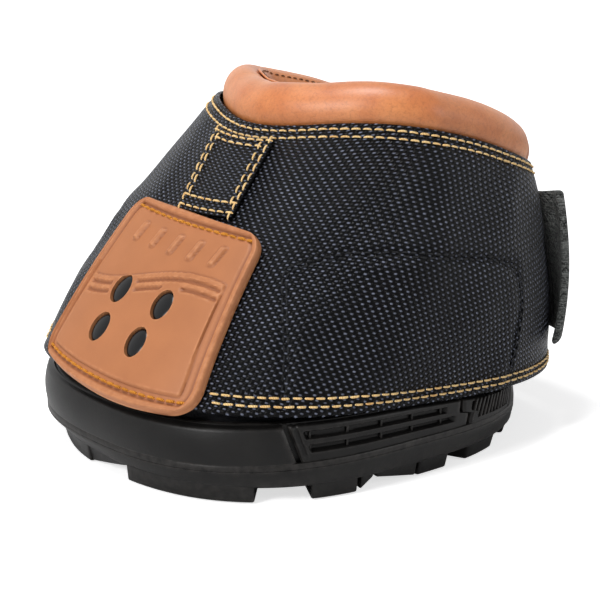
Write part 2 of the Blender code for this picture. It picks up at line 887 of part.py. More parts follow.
def main():
    for item in list(bpy.data.objects):
        bpy.data.objects.remove(item)
    rubber = material("black_rubber", (0.022, 0.022, 0.024), 0.48)
    cloth = material("ballistic_fabric", (0.016, 0.017, 0.022), 0.62)
    padding = material("black_padding", (0.02, 0.02, 0.021), 0.9)
    board = material("stiffener_board", (0.04, 0.04, 0.042), 0.7)
    webbing = material("black_webbing", (0.02, 0.021, 0.022), 0.8)
    leather = material("tan_leather", (0.62, 0.27, 0.13), 0.42)
    moulding = material("tan_moulding", (0.55, 0.24, 0.13), 0.5)
    gloss = material("black_gloss", (0.01, 0.01, 0.012), 0.15)
    make_tread(rubber)
    make_cup(rubber)
    make_bands(rubber)
    make_inside(padding, cloth)
    make_upper(cloth, board, padding)
    make_flaps(cloth, padding, webbing, padding, padding)
    make_collars(leather, padding)
    make_front_strap(cloth)
    make_shield(moulding, gloss)
    make_pivots()


main()
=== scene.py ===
# %% [markdown]
# # A horse's hoof boot
#
# A hoof boot is a shoe that a horse wears instead of, or over, an iron shoe. It has a moulded
# rubber base with a lugged tread, a sewn fabric upper that opens at the heel, a moulded shield
# over the toe and a padded leather collar. The solids of the boot are already made in CAD, so
# the script loads them first and builds every visible piece around them, in the same place.

# %% Load the solids
import math

import bmesh
import bpy
import numpy as np
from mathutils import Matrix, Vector


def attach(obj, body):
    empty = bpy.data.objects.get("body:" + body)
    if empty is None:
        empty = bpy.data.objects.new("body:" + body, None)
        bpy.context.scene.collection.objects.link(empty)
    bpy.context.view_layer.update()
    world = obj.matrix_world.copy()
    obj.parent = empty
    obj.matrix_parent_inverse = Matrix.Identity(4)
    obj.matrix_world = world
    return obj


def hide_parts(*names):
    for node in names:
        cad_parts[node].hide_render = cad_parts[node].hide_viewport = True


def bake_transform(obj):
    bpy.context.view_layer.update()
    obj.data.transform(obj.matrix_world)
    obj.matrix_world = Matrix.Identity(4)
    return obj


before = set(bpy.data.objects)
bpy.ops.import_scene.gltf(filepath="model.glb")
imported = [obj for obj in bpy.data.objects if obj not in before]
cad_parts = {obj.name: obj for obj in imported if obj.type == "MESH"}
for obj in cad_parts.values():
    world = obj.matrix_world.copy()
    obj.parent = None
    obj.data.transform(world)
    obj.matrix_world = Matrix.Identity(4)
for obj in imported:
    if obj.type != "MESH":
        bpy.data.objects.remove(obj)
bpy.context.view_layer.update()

mm = 0.001

# %% [markdown]
# ## Where a place on the boot is
#
# Every piece follows the same few rules, so they are written once. A turn is the angle in
# degrees round the boot from the toe (0) over the right side (90) to the heel (180). A rise is
# the share of the way up the upper, from its hem (0) to its mouth (1). The rules work on whole
# arrays, because a fine mesh asks for tens of thousands of places.

# %% Sizes of the base and the upper
half_width, toe_reach, heel_reach = 77.0 * mm, 79.0 * mm, 84.0 * mm
toe_share, heel_share = 2.6, 2.8
lug_depth, lug_sink, lug_width, lug_taper = 5.0 * mm, 1.5 * mm, 17.0 * mm, 1.6 * mm
tread_inset = 3.4 * mm
ledge_height, band_thickness = 2.0 * mm, 3.0 * mm
cup_inside, cup_floor = 6.2 * mm, 14.0 * mm
fabric = 1.8 * mm
gap = 0.3 * mm
fold_turn, fold_half = 124.0, 4.5
fold_sides = {"inner_flap": 1, "outer_flap": -1}
boot_sides = {"right": 1, "left": -1}
both, neither = (True, True), (False, False)
upright = np.array([0.0, 0.0, 1.0])


def heelward(turn):
    """0 at the toe, 1 at the heel."""
    return (1 - np.cos(np.radians(turn))) / 2


def arched(turn, toe, heel, arch):
    """A height that runs from one value at the toe to another at the heel, over an arch."""
    back = heelward(turn)
    return toe + (heel - toe) * back + arch * 4 * back * (1 - back)


def from_toe(turn):
    """A turn between -180 and 180."""
    return (np.asarray(turn, float) + 180) % 360 - 180


def outline(turn, wide, front, rear, front_share, rear_share):
    """A rounded outline, flatter than an ellipse where its share is above 2."""
    side, along = np.sin(np.radians(turn)), np.cos(np.radians(turn))
    reach = np.where(along >= 0, front, rear)
    share = np.where(along >= 0, front_share, rear_share)
    radius = (np.abs(side / wide) ** share + np.abs(along / reach) ** share) ** (-1 / share)
    return radius * side, -radius * along


def stack(x, y, z):
    return np.stack(np.broadcast_arrays(x, y, z), -1)


def parting(turn):
    """Height of the line between tread and cup."""
    return arched(turn, 10.0 * mm, 9.5 * mm, 2.8 * mm)


def rim(turn):
    """Height of the cup's rim."""
    return arched(turn, 25.6 * mm, 15.4 * mm, 5.8 * mm)


def base_point(turn, inset, height):
    """A place on the base's outline, moved in by its inset."""
    x, y = outline(turn, half_width - inset, toe_reach - inset, heel_reach - inset,
                   toe_share, heel_share)
    return stack(x, y, height)


def hem_point(turn):
    x, y = outline(turn, half_width + 0.9 * mm, toe_reach + 0.9 * mm, heel_reach + 15.6 * mm,
                   toe_share, 3.2)
    return stack(x, y, arched(turn, 33.0 * mm, 21.4 * mm, 0))


def mouth_point(turn):
    x, y = outline(turn, 58.3 * mm, 40.0 * mm, 66.0 * mm, 1.7, 3.4)
    return stack(x, y + 30.7 * mm, 111.0 * mm - 0.246 * y - 5.0 * mm * np.cos(np.radians(2 * turn)))


def unit(vectors):
    return vectors / np.linalg.norm(vectors, axis=-1, keepdims=True)


def wall_frame(turn):
    """Hem point, run from hem to mouth, and outward direction of the upper's cut at a turn."""
    foot = hem_point(turn)
    run = mouth_point(turn) - foot
    ahead = hem_point(turn + 1) + mouth_point(turn + 1)
    behind = hem_point(turn - 1) + mouth_point(turn - 1)
    return foot, run, unit(np.cross(ahead - behind, run))


def wall(turn, rise, out=0.0):
    """A point of the upper's outer face, moved out along the cut's outward direction."""
    turn, rise, out = np.broadcast_arrays(np.asarray(turn, float), rise, out)
    foot, run, outward = wall_frame(turn)
    back = heelward(turn)
    bulge = (2.3 * (1 - back) ** 2 + 16.0 * 2 * back * (1 - back) + 1.4 * back ** 2) * mm
    swell = 4 * np.maximum(rise, 0) * (1 - rise) * (1 + 0.3 * (1 - 2 * rise))
    return foot + run * rise[..., None] + outward * (bulge * swell + out)[..., None]


def ramp(value, low, high):
    """0 below low, 1 above high, and smooth between them."""
    share = np.clip((value - low) / (high - low), 0, 1)
    return share * share * (3 - 2 * share)


# %% Distances round the boot
table_step = 0.02
table_turns = np.arange(-180.0, 361.0)
table_rises = np.arange(-0.1, 1.1001, table_step)
strides = np.linalg.norm(np.diff(wall(table_turns[None, :], table_rises[:, None]), axis=1), axis=-1)
table_arcs = np.concatenate([np.zeros((len(table_rises), 1)), np.cumsum(strides, axis=1)], axis=1)
table_arcs -= table_arcs[:, [180]]


def look_up(value, rise, forwards):
    """Reads the table of distances from turn to arc, or back, between two of its rises."""
    value, rise = np.broadcast_arrays(np.asarray(value, float), np.asarray(rise, float))
    place = np.clip((rise - table_rises[0]) / table_step, 0, len(table_rises) - 1.001)
    row = place.astype(int)
    found = np.zeros(value.shape)
    for index in np.unique(row):
        here = row == index
        pairs = [(table_turns, arcs) if forwards else (arcs, table_turns)
                 for arcs in table_arcs[index:index + 2]]
        low, high = (np.interp(value[here], known, wanted) for known, wanted in pairs)
        found[here] = low + (high - low) * (place - row)[here]
    return found


def arc_at(turn, rise):
    """Distance round the boot from the toe line to a turn, at one rise."""
    return look_up(turn, rise, True)


def turn_at(arc, rise):
    """The turn at a distance round the boot from the toe line, at one rise."""
    return look_up(arc, rise, False)


def height_at(turn, rise):
    """Height above the hem along the upper, for the cloth's own coordinates."""
    return np.linalg.norm(wall_frame(np.asarray(turn, float))[1], axis=-1) * rise


def metres_a_turn(first, last, rise=0.5):
    """Length of one degree of turn between two turns."""
    return float(arc_at(last, rise) - arc_at(first, rise)) / (last - first)


print("way round the hem", round(float(arc_at(180, 0) - arc_at(-180, 0)), 4), "m")

# %% [markdown]
# ## Meshes from grids
#
# Most pieces are sheets or bars whose faces lie on a grid of places. One helper makes a closed
# sheet from two grids that meet in a rounded edge, as folded cloth does, and another makes a
# bar from equal rings. Hard rubber gets its small edge radii from a bevel afterwards.

# %% Helpers for meshes
fold_sharp = 62


def grid_faces(columns, rows, offset=0, closed=False):
    """Four-sided faces between the places of a grid, column by column."""
    i, j = np.meshgrid(np.arange(columns if closed else columns - 1), np.arange(rows - 1),
                       indexing="ij")
    k = (i + 1) % columns
    a, b, c, d = i * rows + j, k * rows + j, k * rows + j + 1, i * rows + j + 1
    return (np.stack([a, b, c, d], -1).reshape(-1, 4) + offset).tolist()


def shell_faces(columns, rows, thick=None):
    """Faces of a grid, of the same grid behind it, and of the rim between them, which is left
    out where thick says that the two meet."""
    back = columns * rows
    faces = grid_faces(columns, rows) + [face[::-1] for face in grid_faces(columns, rows, back)]
    marks = np.arange(back).reshape(columns, rows)
    for line in (marks[:, 0], marks[:, -1], marks[0], marks[-1]):
        for a, b in zip(line[:-1].tolist(), line[1:].tolist()):
            if thick is None or thick.flat[a] > 0 or thick.flat[b] > 0:
                faces.append([a, b, back + b, back + a])
    return faces


def smooth(mesh, sharp=None):
    """Shades a mesh smoothly, apart from edges that turn more sharply than an angle."""
    mesh.polygons.foreach_set("use_smooth", [True] * len(mesh.polygons))
    if sharp:
        mesh.set_sharp_from_angle(angle=math.radians(sharp))


def new_object(name, data):
    made = bpy.data.objects.new(name, data)
    bpy.context.scene.collection.objects.link(made)
    return made


def new_piece(name, points, faces, finish, places=None, sharp=None):
    """A mesh object whose faces point outwards; places are its cloth coordinates in metres."""
    mesh = bpy.data.meshes.new(name)
    mesh.from_pydata(np.asarray(points, float).reshape(-1, 3).tolist(), [], faces)
    if places is not None:
        loops = np.empty(len(mesh.loops), int)
        mesh.loops.foreach_get("vertex_index", loops)
        layer = mesh.uv_layers.new(name="Surface")
        layer.data.foreach_set("uv", np.asarray(places, float).reshape(-1, 2)[loops].ravel())
    shaped = bmesh.new()
    shaped.from_mesh(mesh)
    bmesh.ops.remove_doubles(shaped, verts=shaped.verts, dist=1e-6)
    bmesh.ops.dissolve_degenerate(shaped, dist=1e-7, edges=shaped.edges)
    bmesh.ops.recalc_face_normals(shaped, faces=shaped.faces)
    if shaped.calc_volume(signed=True) < 0:
        bmesh.ops.reverse_faces(shaped, faces=shaped.faces)
    shaped.to_mesh(mesh)
    shaped.free()
    smooth(mesh, sharp)
    mesh.materials.append(finish)
    return new_object(name, mesh)


def settle(piece, sharp=None):
    """Turns a piece with modifiers into the plain mesh that they make."""
    bpy.context.view_layer.update()
    done = piece.evaluated_get(bpy.context.evaluated_depsgraph_get())
    mesh = bpy.data.meshes.new_from_object(done)
    piece.modifiers.clear()
    old, piece.data = piece.data, mesh
    bpy.data.meshes.remove(old)
    mesh.name = piece.name
    if sharp:
        smooth(mesh, sharp)
    return piece


def bevel(piece, width, segments):
    """Rounds a moulded piece's hard edges."""
    step = piece.modifiers.new("edge", "BEVEL")
    step.width, step.segments = width, segments
    step.limit_method, step.angle_limit = "ANGLE", math.radians(32)
    step.harden_normals = False
    return settle(piece, sharp=40)


def combine(piece, tools, operation, solver, sharp=None):
    """Cuts tools out of a piece or joins them to it, and removes them."""
    for tool in tools:
        step = piece.modifiers.new("combine", "BOOLEAN")
        step.operation, step.object, step.solver = operation, tool, solver
    settle(piece, sharp)
    for tool in tools:
        bpy.data.objects.remove(tool)
    return piece


def bar(name, rings, finish, closed=False, places=None, sharp=None):
    """A bar of equal rings of points; closed joins its two ends, as in a hoop."""
    rings = np.asarray(rings, float)
    count, size = rings.shape[:2]
    wrapped = np.concatenate([rings, rings[:, :1]], axis=1)
    faces = grid_faces(count, size + 1, closed=closed)
    if not closed:
        faces += [list(range(size))[::-1], [(count - 1) * (size + 1) + i for i in range(size)]]
    return new_piece(name, wrapped.reshape(-1, 3), faces, finish, places, sharp)


def edge_distance(marks, scale, ends=both):
    """How far each mark lies from the nearer end, in metres; an end left out doesn't round."""
    far = np.full(len(marks), 1.0)
    if ends[0]:
        far = np.minimum(far, (marks - marks[0]) * scale)
    if ends[1]:
        far = np.minimum(far, (marks[-1] - marks) * scale)
    return far


def sheet(name, columns, rows, place, inner, outer, finish, scales, ends=(both, both), cloth=None,
          sharp=fold_sharp):
    """A closed sheet: place(u, v, out) gives its points, and its edges round off within half
    its thickness. scales are the metres in one of its u and of its v, cloth its flat places."""
    u, v = np.meshgrid(columns, rows, indexing="ij")
    inner, outer = (np.broadcast_to(side(u, v) if callable(side) else side, u.shape)
                    for side in (inner, outer))
    half, middle = (outer - inner) / 2, (outer + inner) / 2
    left = 1 - np.clip(edge_distance(columns, scales[0], ends[0])[:, None] / half, 0, 1)
    low = 1 - np.clip(edge_distance(rows, scales[1], ends[1])[None, :] / half, 0, 1)
    full = np.sqrt(np.maximum(0, 1 - left ** 2)) * np.sqrt(np.maximum(0, 1 - low ** 2))
    points = np.concatenate([place(u, v, middle + half * full).reshape(-1, 3),
                             place(u, v, middle - half * full).reshape(-1, 3)])
    places = None
    if cloth:
        flat = np.stack(np.broadcast_arrays(*cloth(u, v)), -1).reshape(-1, 2)
        places = np.concatenate([flat, flat])
    return new_piece(name, points, shell_faces(*u.shape, full), finish, places, sharp)


def spaced(first, last, step, edge=0.0, ends=both):
    """Even marks from first to last, with closer ones at the ends, where an edge rounds off."""
    count = max(2, int(round(abs(last - first) / step)) + 1)
    marks = list(np.linspace(first, last, count))
    for near, far, wanted in ((first, last, ends[0]), (last, first, ends[1])):
        if edge and wanted:
            way = math.copysign(1, far - near)
            marks += [near + way * edge * share for share in (0.07, 0.25, 0.55, 1.0)]
    marks = sorted(marks)
    kept = [marks[0]]
    for mark in marks[1:]:
        if mark - kept[-1] > edge * 0.05 + 1e-9:
            kept.append(mark)
    kept[-1] = max(first, last)
    return np.array(kept)


def wall_marks(first, last, low, high, step, edge, ends=both, tall=None):
    """Marks of turn and of rise for a sheet on the wall, and the metres in one of each."""
    scale = metres_a_turn(first, last)
    tall = tall or float(height_at((first + last) / 2, 1.0))
    return (spaced(first, last, step / scale, edge / scale, ends),
            spaced(low, high, step / tall, edge / tall), (scale, tall))


def move_with(piece, body_name, bends=False):
    """Makes a piece ride on a body; a bending piece on a heel flap only has its transform baked in.
    """
    if bends and body_name in fold_sides:
        start, end = (tuple(wall(fold_sides[body_name] * (fold_turn + off), 0.5))
                      for off in (-fold_half, fold_half))
        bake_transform(piece)
        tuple(start)
        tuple(end)
    else:
        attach(piece, body_name)


def dress_up(piece, slot, *nodes):
    """Hides the solids that a piece stands for and prints its faces; slot is not used."""
    if nodes:
        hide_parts(*nodes)
    print(piece.name, len(piece.data.polygons), "faces")
    return piece


def carry(piece, body_name, slot, *nodes, bends=False):
    """Hides the solids that a piece stands for and sets it with its body; slot is not used."""
    move_with(dress_up(piece, slot, *nodes), body_name, bends)
    return piece


# %% [markdown]
# ## Node helpers
#
# Materials and Geometry Nodes trees are graphs. These helpers add nodes to the tree that was
# opened last. An output can be used in a plain sum, and each sign in it adds the node that does
# it, so a tree reads like a list of sums. An effect that several finishes share is a node group
# with named inputs, and puts out only masks and heights.

# %% Helpers for node trees
drawn = None


class Wire:
    """An output of a node; a sum written with it adds the node that does the sum."""

    def __init__(self, socket):
        self.socket = socket

    def __add__(self, other):
        return calc("ADD", self, other)

    def __sub__(self, other):
        return calc("SUBTRACT", self, other)

    def __mul__(self, other):
        return calc("MULTIPLY", self, other)

    def __truediv__(self, other):
        return calc("DIVIDE", self, other)

    def __pow__(self, other):
        return calc("POWER", self, other)


class Node:
    """A node of the open tree; node[0] or node["Height"] is one of its outputs."""

    def __init__(self, made):
        self.made = made

    def __getitem__(self, key):
        return Wire(self.made.outputs[key])


def feed(socket, value):
    """Links an output to a socket, or sets the socket's own value."""
    if isinstance(value, Wire):
        drawn.links.new(value.socket, socket)
    else:
        socket.default_value = value


def put(kind, settings=None, **inputs):
    """Adds a node. Inputs go by name, with _ for a space, or by place: i0, i1."""
    made = drawn.nodes.new(kind)
    for key, value in (settings or {}).items():
        setattr(made, key, value)
    for key, value in inputs.items():
        by_place = key[0] == "i" and key[1:].isdigit()
        feed(made.inputs[int(key[1:]) if by_place else key.replace("_", " ")], value)
    return Node(made)


def calc(operation, a, b=0.0):
    """One sum in a tree."""
    return put("ShaderNodeMath", {"operation": operation}, i0=a, i1=b)[0]


def bow(value):
    """A rounded bump over each whole number, as each yarn of a weave makes."""
    return calc("SINE", calc("FRACT", value) * math.pi)


def spread(value, low, high, to_low=0.0, to_high=1.0):
    """Maps a value from one range to another, held at both ends."""
    return put("ShaderNodeMapRange", {"clamp": True}, Value=value, From_Min=low,
               From_Max=high, To_Min=to_low, To_Max=to_high)[0]


def noise(place, scale, detail):
    return put("ShaderNodeTexNoise", Vector=place, Scale=scale, Detail=detail)[0]


def chance(x, y):
    """A random value for each cell of a pattern."""
    cell = put("ShaderNodeCombineXYZ", X=calc("FLOOR", x), Y=calc("FLOOR", y))
    return put("ShaderNodeTexWhiteNoise", {"noise_dimensions": "2D"}, Vector=cell[0])["Value"]


def vector(operation, a, **more):
    """One sum of vectors in a tree."""
    made = put("ShaderNodeVectorMath", {"operation": operation}, i0=a, **more)
    return made[1 if operation == "LENGTH" else 0]


def new_group(name, kind, outputs, **inputs):
    """Opens a node group. Each input is given as its value, or as its kind of socket."""
    global drawn
    drawn = bpy.data.node_groups.new(name, kind + "NodeTree")
    for label, value in inputs.items():
        plain = not isinstance(value, str)
        socket = "NodeSocket" + (type(value).__name__.title() if plain else value)
        made = drawn.interface.new_socket(label, in_out="INPUT", socket_type=socket)
        if plain:
            made.default_value = value
    for label in outputs:
        socket = "NodeSocketGeometry" if kind == "Geometry" else "NodeSocketFloat"
        drawn.interface.new_socket(label, in_out="OUTPUT", socket_type=socket)
    start = drawn.nodes.new("NodeGroupInput")
    drawn.nodes.new("NodeGroupOutput")
    return Node(start)


def close_group(**outputs):
    """Feeds the open group's outputs, and returns the group."""
    for label, value in outputs.items():
        feed(drawn.nodes["Group Output"].inputs[label], value)
    return drawn


# %% [markdown]
# ## The groups that finishes share
#
# `weave` draws a plain weave of thick yarns, where weft and warp come up in turn like the
# squares of a chessboard, as in the heavy cloth of the upper. `grain` gives pebbled leather or
# moulded rubber. `twill` draws the chevrons of webbing. The last group finds edges, which rub
# pale, and hollows, which the finishes paint dark as shade.

# %% Shader groups


def make_weave():
    start = new_group("weave", "Shader", ("Height", "Thread", "Fibre", "Over"),
                      Surface="Vector", Column=1.58 * mm, Row=1.3 * mm)
    apart = put("ShaderNodeSeparateXYZ", i0=start["Surface"])
    lift = (noise(start["Surface"], 110.0, 2.0) - 0.5) * (0.7 * mm)
    x, y = (apart[0] - lift) / start["Column"], (apart[1] + lift) / start["Row"]
    over = calc("FLOORED_MODULO", calc("FLOOR", x) + calc("FLOOR", y), 2.0)
    across, up = bow(x), bow(y)
    weft = across ** 0.35 * up ** 1.1
    warp = across ** 0.75 * up ** 0.45 * 0.6
    along, aside = 1000.0, 7000.0
    way = put("ShaderNodeCombineXYZ", X=over * (along - aside) + aside,
              Y=over * (aside - along) + along)
    fibre = noise(vector("MULTIPLY", start["Surface"], i1=way[0]), 1.0, 2.0)
    return close_group(Height=warp + over * (weft - warp), Thread=chance(x, y), Fibre=fibre,
                       Over=over)


def make_grain():
    start = new_group("grain", "Shader", ("Height", "Mottle", "Speck"),
                      Place="Vector", Size=1.2 * mm)
    scaled = vector("SCALE", start["Place"], Scale=calc("DIVIDE", 1.0, start["Size"]))
    pebbles = put("ShaderNodeTexVoronoi", {"feature": "SMOOTH_F1"}, Vector=scaled, Scale=1.0)
    return close_group(Height=pebbles["Distance"] * -0.7 + noise(scaled, 2.6, 4.0),
                       Mottle=noise(scaled, 0.055, 3.0), Speck=noise(scaled, 7.0, 2.0))


def make_twill():
    start = new_group("twill", "Shader", ("Height", "Thread"),
                      Surface="Vector", Chevron=5.0 * mm, Rib=1.1 * mm)
    apart = put("ShaderNodeSeparateXYZ", i0=start["Surface"])
    slant = (apart[0] + calc("PINGPONG", apart[1], start["Chevron"])) / start["Rib"]
    across = apart[1] / (start["Rib"] * 0.8)
    return close_group(Height=bow(slant) ** 0.7 * (bow(across) * 0.45 + 0.55),
                       Thread=chance(slant, across))


def make_wear():
    start = new_group("wear", "Shader", ("Edge", "Hollow"),
                      Pointiness=0.5, Place="Vector", Reach=0.06)
    lean = (start["Pointiness"] - 0.5) / start["Reach"]
    broken = spread(noise(start["Place"], 420.0, 3.0), 0.3, 0.65)
    # Edge marks edges that rub pale; the second mask marks concave places, painted dark as shade.
    return close_group(Edge=spread(lean, 0.12, 1.0) * broken, Hollow=spread(lean, -0.12, -1.0))


weave, grain, twill, wear = make_weave(), make_grain(), make_twill(), make_wear()
print("groups", [group.name for group in (weave, grain, twill, wear)])

# %% [markdown]
# ## Finishes
#
# Colours are read off the real object as screen values from 0 to 255, and turned into the
# linear values that a shader wants. Each finish mixes its colours by the groups' masks and
# takes its roughness and bump from them too, so nothing on the boot is one flat colour.

# %% Helpers for finishes


def tint(red, green, blue):
    """A screen colour as the linear colour of a shader."""
    return tuple(((v / 255 + 0.055) / 1.055) ** 2.4 if v > 10 else v / 255 / 12.92
                 for v in (red, green, blue)) + (1.0,)


def grey(level):
    return (level, level, level, 1.0)


def mix(share, low, high):
    """A colour between two others."""
    settings = {"data_type": "RGBA", "clamp_factor": True}
    return put("ShaderNodeMix", settings, i0=share, i6=low, i7=high)[2]


def placed(group, **inputs):
    """A shared group in a material."""
    return put("ShaderNodeGroup", {"node_tree": group}, **inputs)


def new_finish(name, **constants):
    """Opens a material and sets its shader's constants."""
    global drawn
    made = bpy.data.materials.new(name)
    made.use_nodes = True
    drawn = made.node_tree
    for key, value in constants.items():
        drawn.nodes["Principled BSDF"].inputs[key.replace("_", " ")].default_value = value
    return made


def dress(made, colour, roughness, height, depth, strength=1.0):
    """Feeds a finish's colour, roughness and bump; depth is the bump's height in metres."""
    bump = put("ShaderNodeBump", Height=height, Distance=depth, Strength=strength)[0]
    for label, value in (("Base Color", colour), ("Roughness", roughness), ("Normal", bump)):
        feed(drawn.nodes["Principled BSDF"].inputs[label], value)
    return made


def surface():
    """Places on a piece's own flat cloth."""
    return put("ShaderNodeUVMap", {"uv_map": "Surface"})[0]


def body():
    """Places in the boot's space."""
    return put("ShaderNodeTexCoord")["Object"]


# %% Cloth, webbing and padding


def make_cloth(name, dark, light, painted_sheen_colour):
    """Heavy plain weave, weft on top: painted highlight on its crests, painted shade on warp and
    gaps.
    """
    made = new_finish(name, Specular_IOR_Level=0.08)
    places = surface()
    cloth = placed(weave, Surface=places)
    height, thread, fibre, over = (cloth[i] for i in range(4))
    # The weft's crests are painted with the sheen colour, as glints of light.
    painted_highlight_share = (spread(height, 0.55, 1.0) * spread(thread, 0.0, 1.0, 0.5, 1.0)
             * spread(noise(places, 38.0, 3.0), 0.35, 0.7, 0.6, 1.0))
    # The warp is painted near black, as shade.
    warp = mix(spread(thread, 0.3, 1.0, 0.0, 0.3), dark, light)
    yarn = mix(over, warp, mix(painted_highlight_share, light, painted_sheen_colour))
    yarn = mix(spread(fibre, 0.4, 0.75, 0.0, 0.4), yarn, dark)
    # Low places between the yarns are painted dark, as shade.
    colour = mix(spread(height, 0.35, 0.8), dark, yarn)
    rough = spread(fibre * 0.5 + thread, 0.2, 1.3, 0.2, 0.34)
    return dress(made, colour, rough, height + fibre * 0.12, 0.42 * mm)


def make_padding(name, dark, light):
    """Brushed knit over foam, as inside a boot."""
    made = new_finish(name, Sheen_Weight=0.1, Sheen_Roughness=0.5, Specular_IOR_Level=0.15)
    fuzz = placed(grain, Place=body(), Size=0.55 * mm)
    colour = mix(spread(fuzz["Speck"], 0.3, 0.7), dark, light)
    colour = mix(spread(fuzz["Mottle"], 0.35, 0.65, 0.0, 0.4), colour, dark)
    rough = spread(fuzz["Speck"], 0.2, 0.8, 0.8, 1.0)
    return dress(made, colour, rough, fuzz["Height"], 0.25 * mm, 0.8)


def make_webbing(name, dark, light):
    """Woven strap with a herringbone face."""
    made = new_finish(name, Sheen_Weight=0.1, Sheen_Roughness=0.45, Specular_IOR_Level=0.15)
    woven = placed(twill, Surface=surface(), Chevron=4.2 * mm, Rib=1.15 * mm)
    fuzz = noise(body(), 1500.0, 3.0)
    yarn = mix(spread(woven["Thread"], 0.0, 1.0, 0.1, 0.6), dark, light)
    # Low places of the twill are painted dark, as shade between its ribs.
    colour = mix(spread(woven["Height"], 0.15, 0.75), dark, yarn)
    colour = mix(spread(fuzz, 0.48, 0.68, 0.0, 0.7), colour, light)
    rough = spread(fuzz, 0.2, 0.8, 0.68, 0.92)
    return dress(made, colour, rough, woven["Height"] + fuzz, 0.4 * mm, 0.9)


def make_nap(name, dark, light, size):
    """The hooks or loops of a fastening patch."""
    made = new_finish(name, Sheen_Weight=0.2, Sheen_Roughness=0.6, Specular_IOR_Level=0.1)
    nap = placed(grain, Place=body(), Size=size)
    # The nap's low places are painted dark, as shade, and its tops light, as lit tips.
    colour = mix(spread(nap["Height"], 0.0, 0.5), dark, light)
    return dress(made, colour, spread(nap["Speck"], 0.2, 0.8, 0.8, 1.0), nap["Height"], 0.6 * mm)


# The cloth's first colour also serves as painted shade, and its last is the painted highlight on
# the weft.
ballistic = make_cloth("ballistic_cloth", tint(2, 2, 3), tint(20, 21, 26), tint(138, 144, 164))
padding = make_padding("black_padding", tint(20, 20, 22), tint(52, 52, 55))
webbing = make_webbing("herringbone_webbing", tint(13, 13, 14), tint(140, 143, 140))
loop_nap = make_nap("loop_nap", tint(14, 14, 15), tint(48, 48, 50), 0.7 * mm)
hook_nap = make_nap("hook_nap", tint(10, 10, 11), tint(40, 40, 42), 0.9 * mm)

# %% Leather, moulding and rubber


def make_leather(name, deep, mid, pale):
    """Smooth, finely grained leather, with painted shade in the low places of its grain."""
    made = new_finish(name, Coat_Weight=0.6, Coat_Roughness=0.42, Specular_IOR_Level=0.4)
    skin = placed(grain, Place=body(), Size=1.0 * mm)
    colour = mix(spread(skin["Mottle"], 0.3, 0.8), mid, pale)
    # Low places of the grain are painted darker, as shade.
    colour = mix(spread(skin["Height"], 0.25, -0.25, 0.0, 0.4), colour, deep)
    colour = mix(spread(skin["Speck"], 0.55, 0.75, 0.0, 0.2), colour, deep)
    rough = spread(skin["Speck"], 0.25, 0.75, 0.36, 0.56)
    return dress(made, colour, rough, skin["Height"], 0.12 * mm, 0.7)


def make_moulded(name, deep, mid, pale, grain_size, shine, reach, depth=0.05 * mm, patchy=1.0,
                 **constants):
    """A moulded finish: rubber or plastic with a spark-eroded grain, pale rubbed edges, painted
    shade in hollows.
    """
    made = new_finish(name, **constants)
    places = body()
    face = placed(grain, Place=places, Size=grain_size)
    pointy = put("ShaderNodeNewGeometry")["Pointiness"]
    rubbed_and_painted_shade = placed(wear, Pointiness=pointy, Place=places, Reach=reach)
    colour = mix(spread(face["Mottle"], 0.3, 0.7, 1 - patchy, 1.0), deep, mid)
    colour = mix(rubbed_and_painted_shade["Edge"] * 0.65, colour, pale)
    # Concave places are painted with the deep colour, as shade.
    colour = mix(rubbed_and_painted_shade["Hollow"] * 0.6, colour, deep)
    rough = spread(face["Speck"], 0.25, 0.75, *shine)
    return dress(made, colour, rough, face["Height"], depth, 0.7)


leather = make_leather("tan_leather", tint(112, 58, 26), tint(180, 98, 44), tint(224, 148, 90))
moulding = make_moulded("tan_moulding", tint(116, 68, 42), tint(168, 107, 67), tint(200, 138, 94),
                        0.6 * mm, (0.45, 0.58), 0.04, patchy=0.16, Specular_IOR_Level=0.35)
rubber = make_moulded("black_rubber", tint(13, 12, 12), tint(22, 21, 20), tint(62, 59, 57),
                      0.7 * mm, (0.32, 0.46), 0.07, Specular_IOR_Level=0.2)
gloss = make_moulded("black_gloss", tint(8, 8, 9), tint(14, 14, 16), tint(30, 30, 32),
                     1.6 * mm, (0.18, 0.28), 0.1, depth=0.01 * mm, Specular_IOR_Level=0.25)
board = make_moulded("stiffener_board", tint(40, 40, 42), tint(60, 60, 62), tint(80, 80, 82),
                     0.9 * mm, (0.6, 0.75), 0.07)

# %% Thread


def make_thread(name, deep, pale):
    """Twisted thread; its twist runs slantwise along each stitch, with painted highlight and shade.
    """
    made = new_finish(name, Specular_IOR_Level=0.2)
    apart = put("ShaderNodeSeparateXYZ", i0=surface())
    twist_and_painted_highlight = bow(apart[0] * 3.0 + apart[1])
    dirt = noise(body(), 160.0, 3.0)
    # Each twist's ridge is painted pale, as a highlight, and its groove deep, as shade.
    colour = mix(spread(twist_and_painted_highlight, 0.1, 0.8), deep, pale)
    colour = mix(spread(dirt, 0.5, 0.75, 0.0, 0.5), colour, deep)
    return dress(made, colour, spread(dirt, 0.3, 0.7, 0.35, 0.6), twist_and_painted_highlight, 0.2 * mm)


# Each thread's pale colour is its painted highlight.
yellow_thread = make_thread("yellow_thread", tint(212, 144, 64), tint(255, 226, 166))
gold_thread = make_thread("gold_thread", tint(142, 80, 16), tint(226, 150, 52))
brown_thread = make_thread("brown_thread", tint(84, 50, 30), tint(150, 98, 62))
black_thread = make_thread("black_thread", tint(3, 3, 4), tint(34, 35, 39))
print("finishes", len(bpy.data.materials))

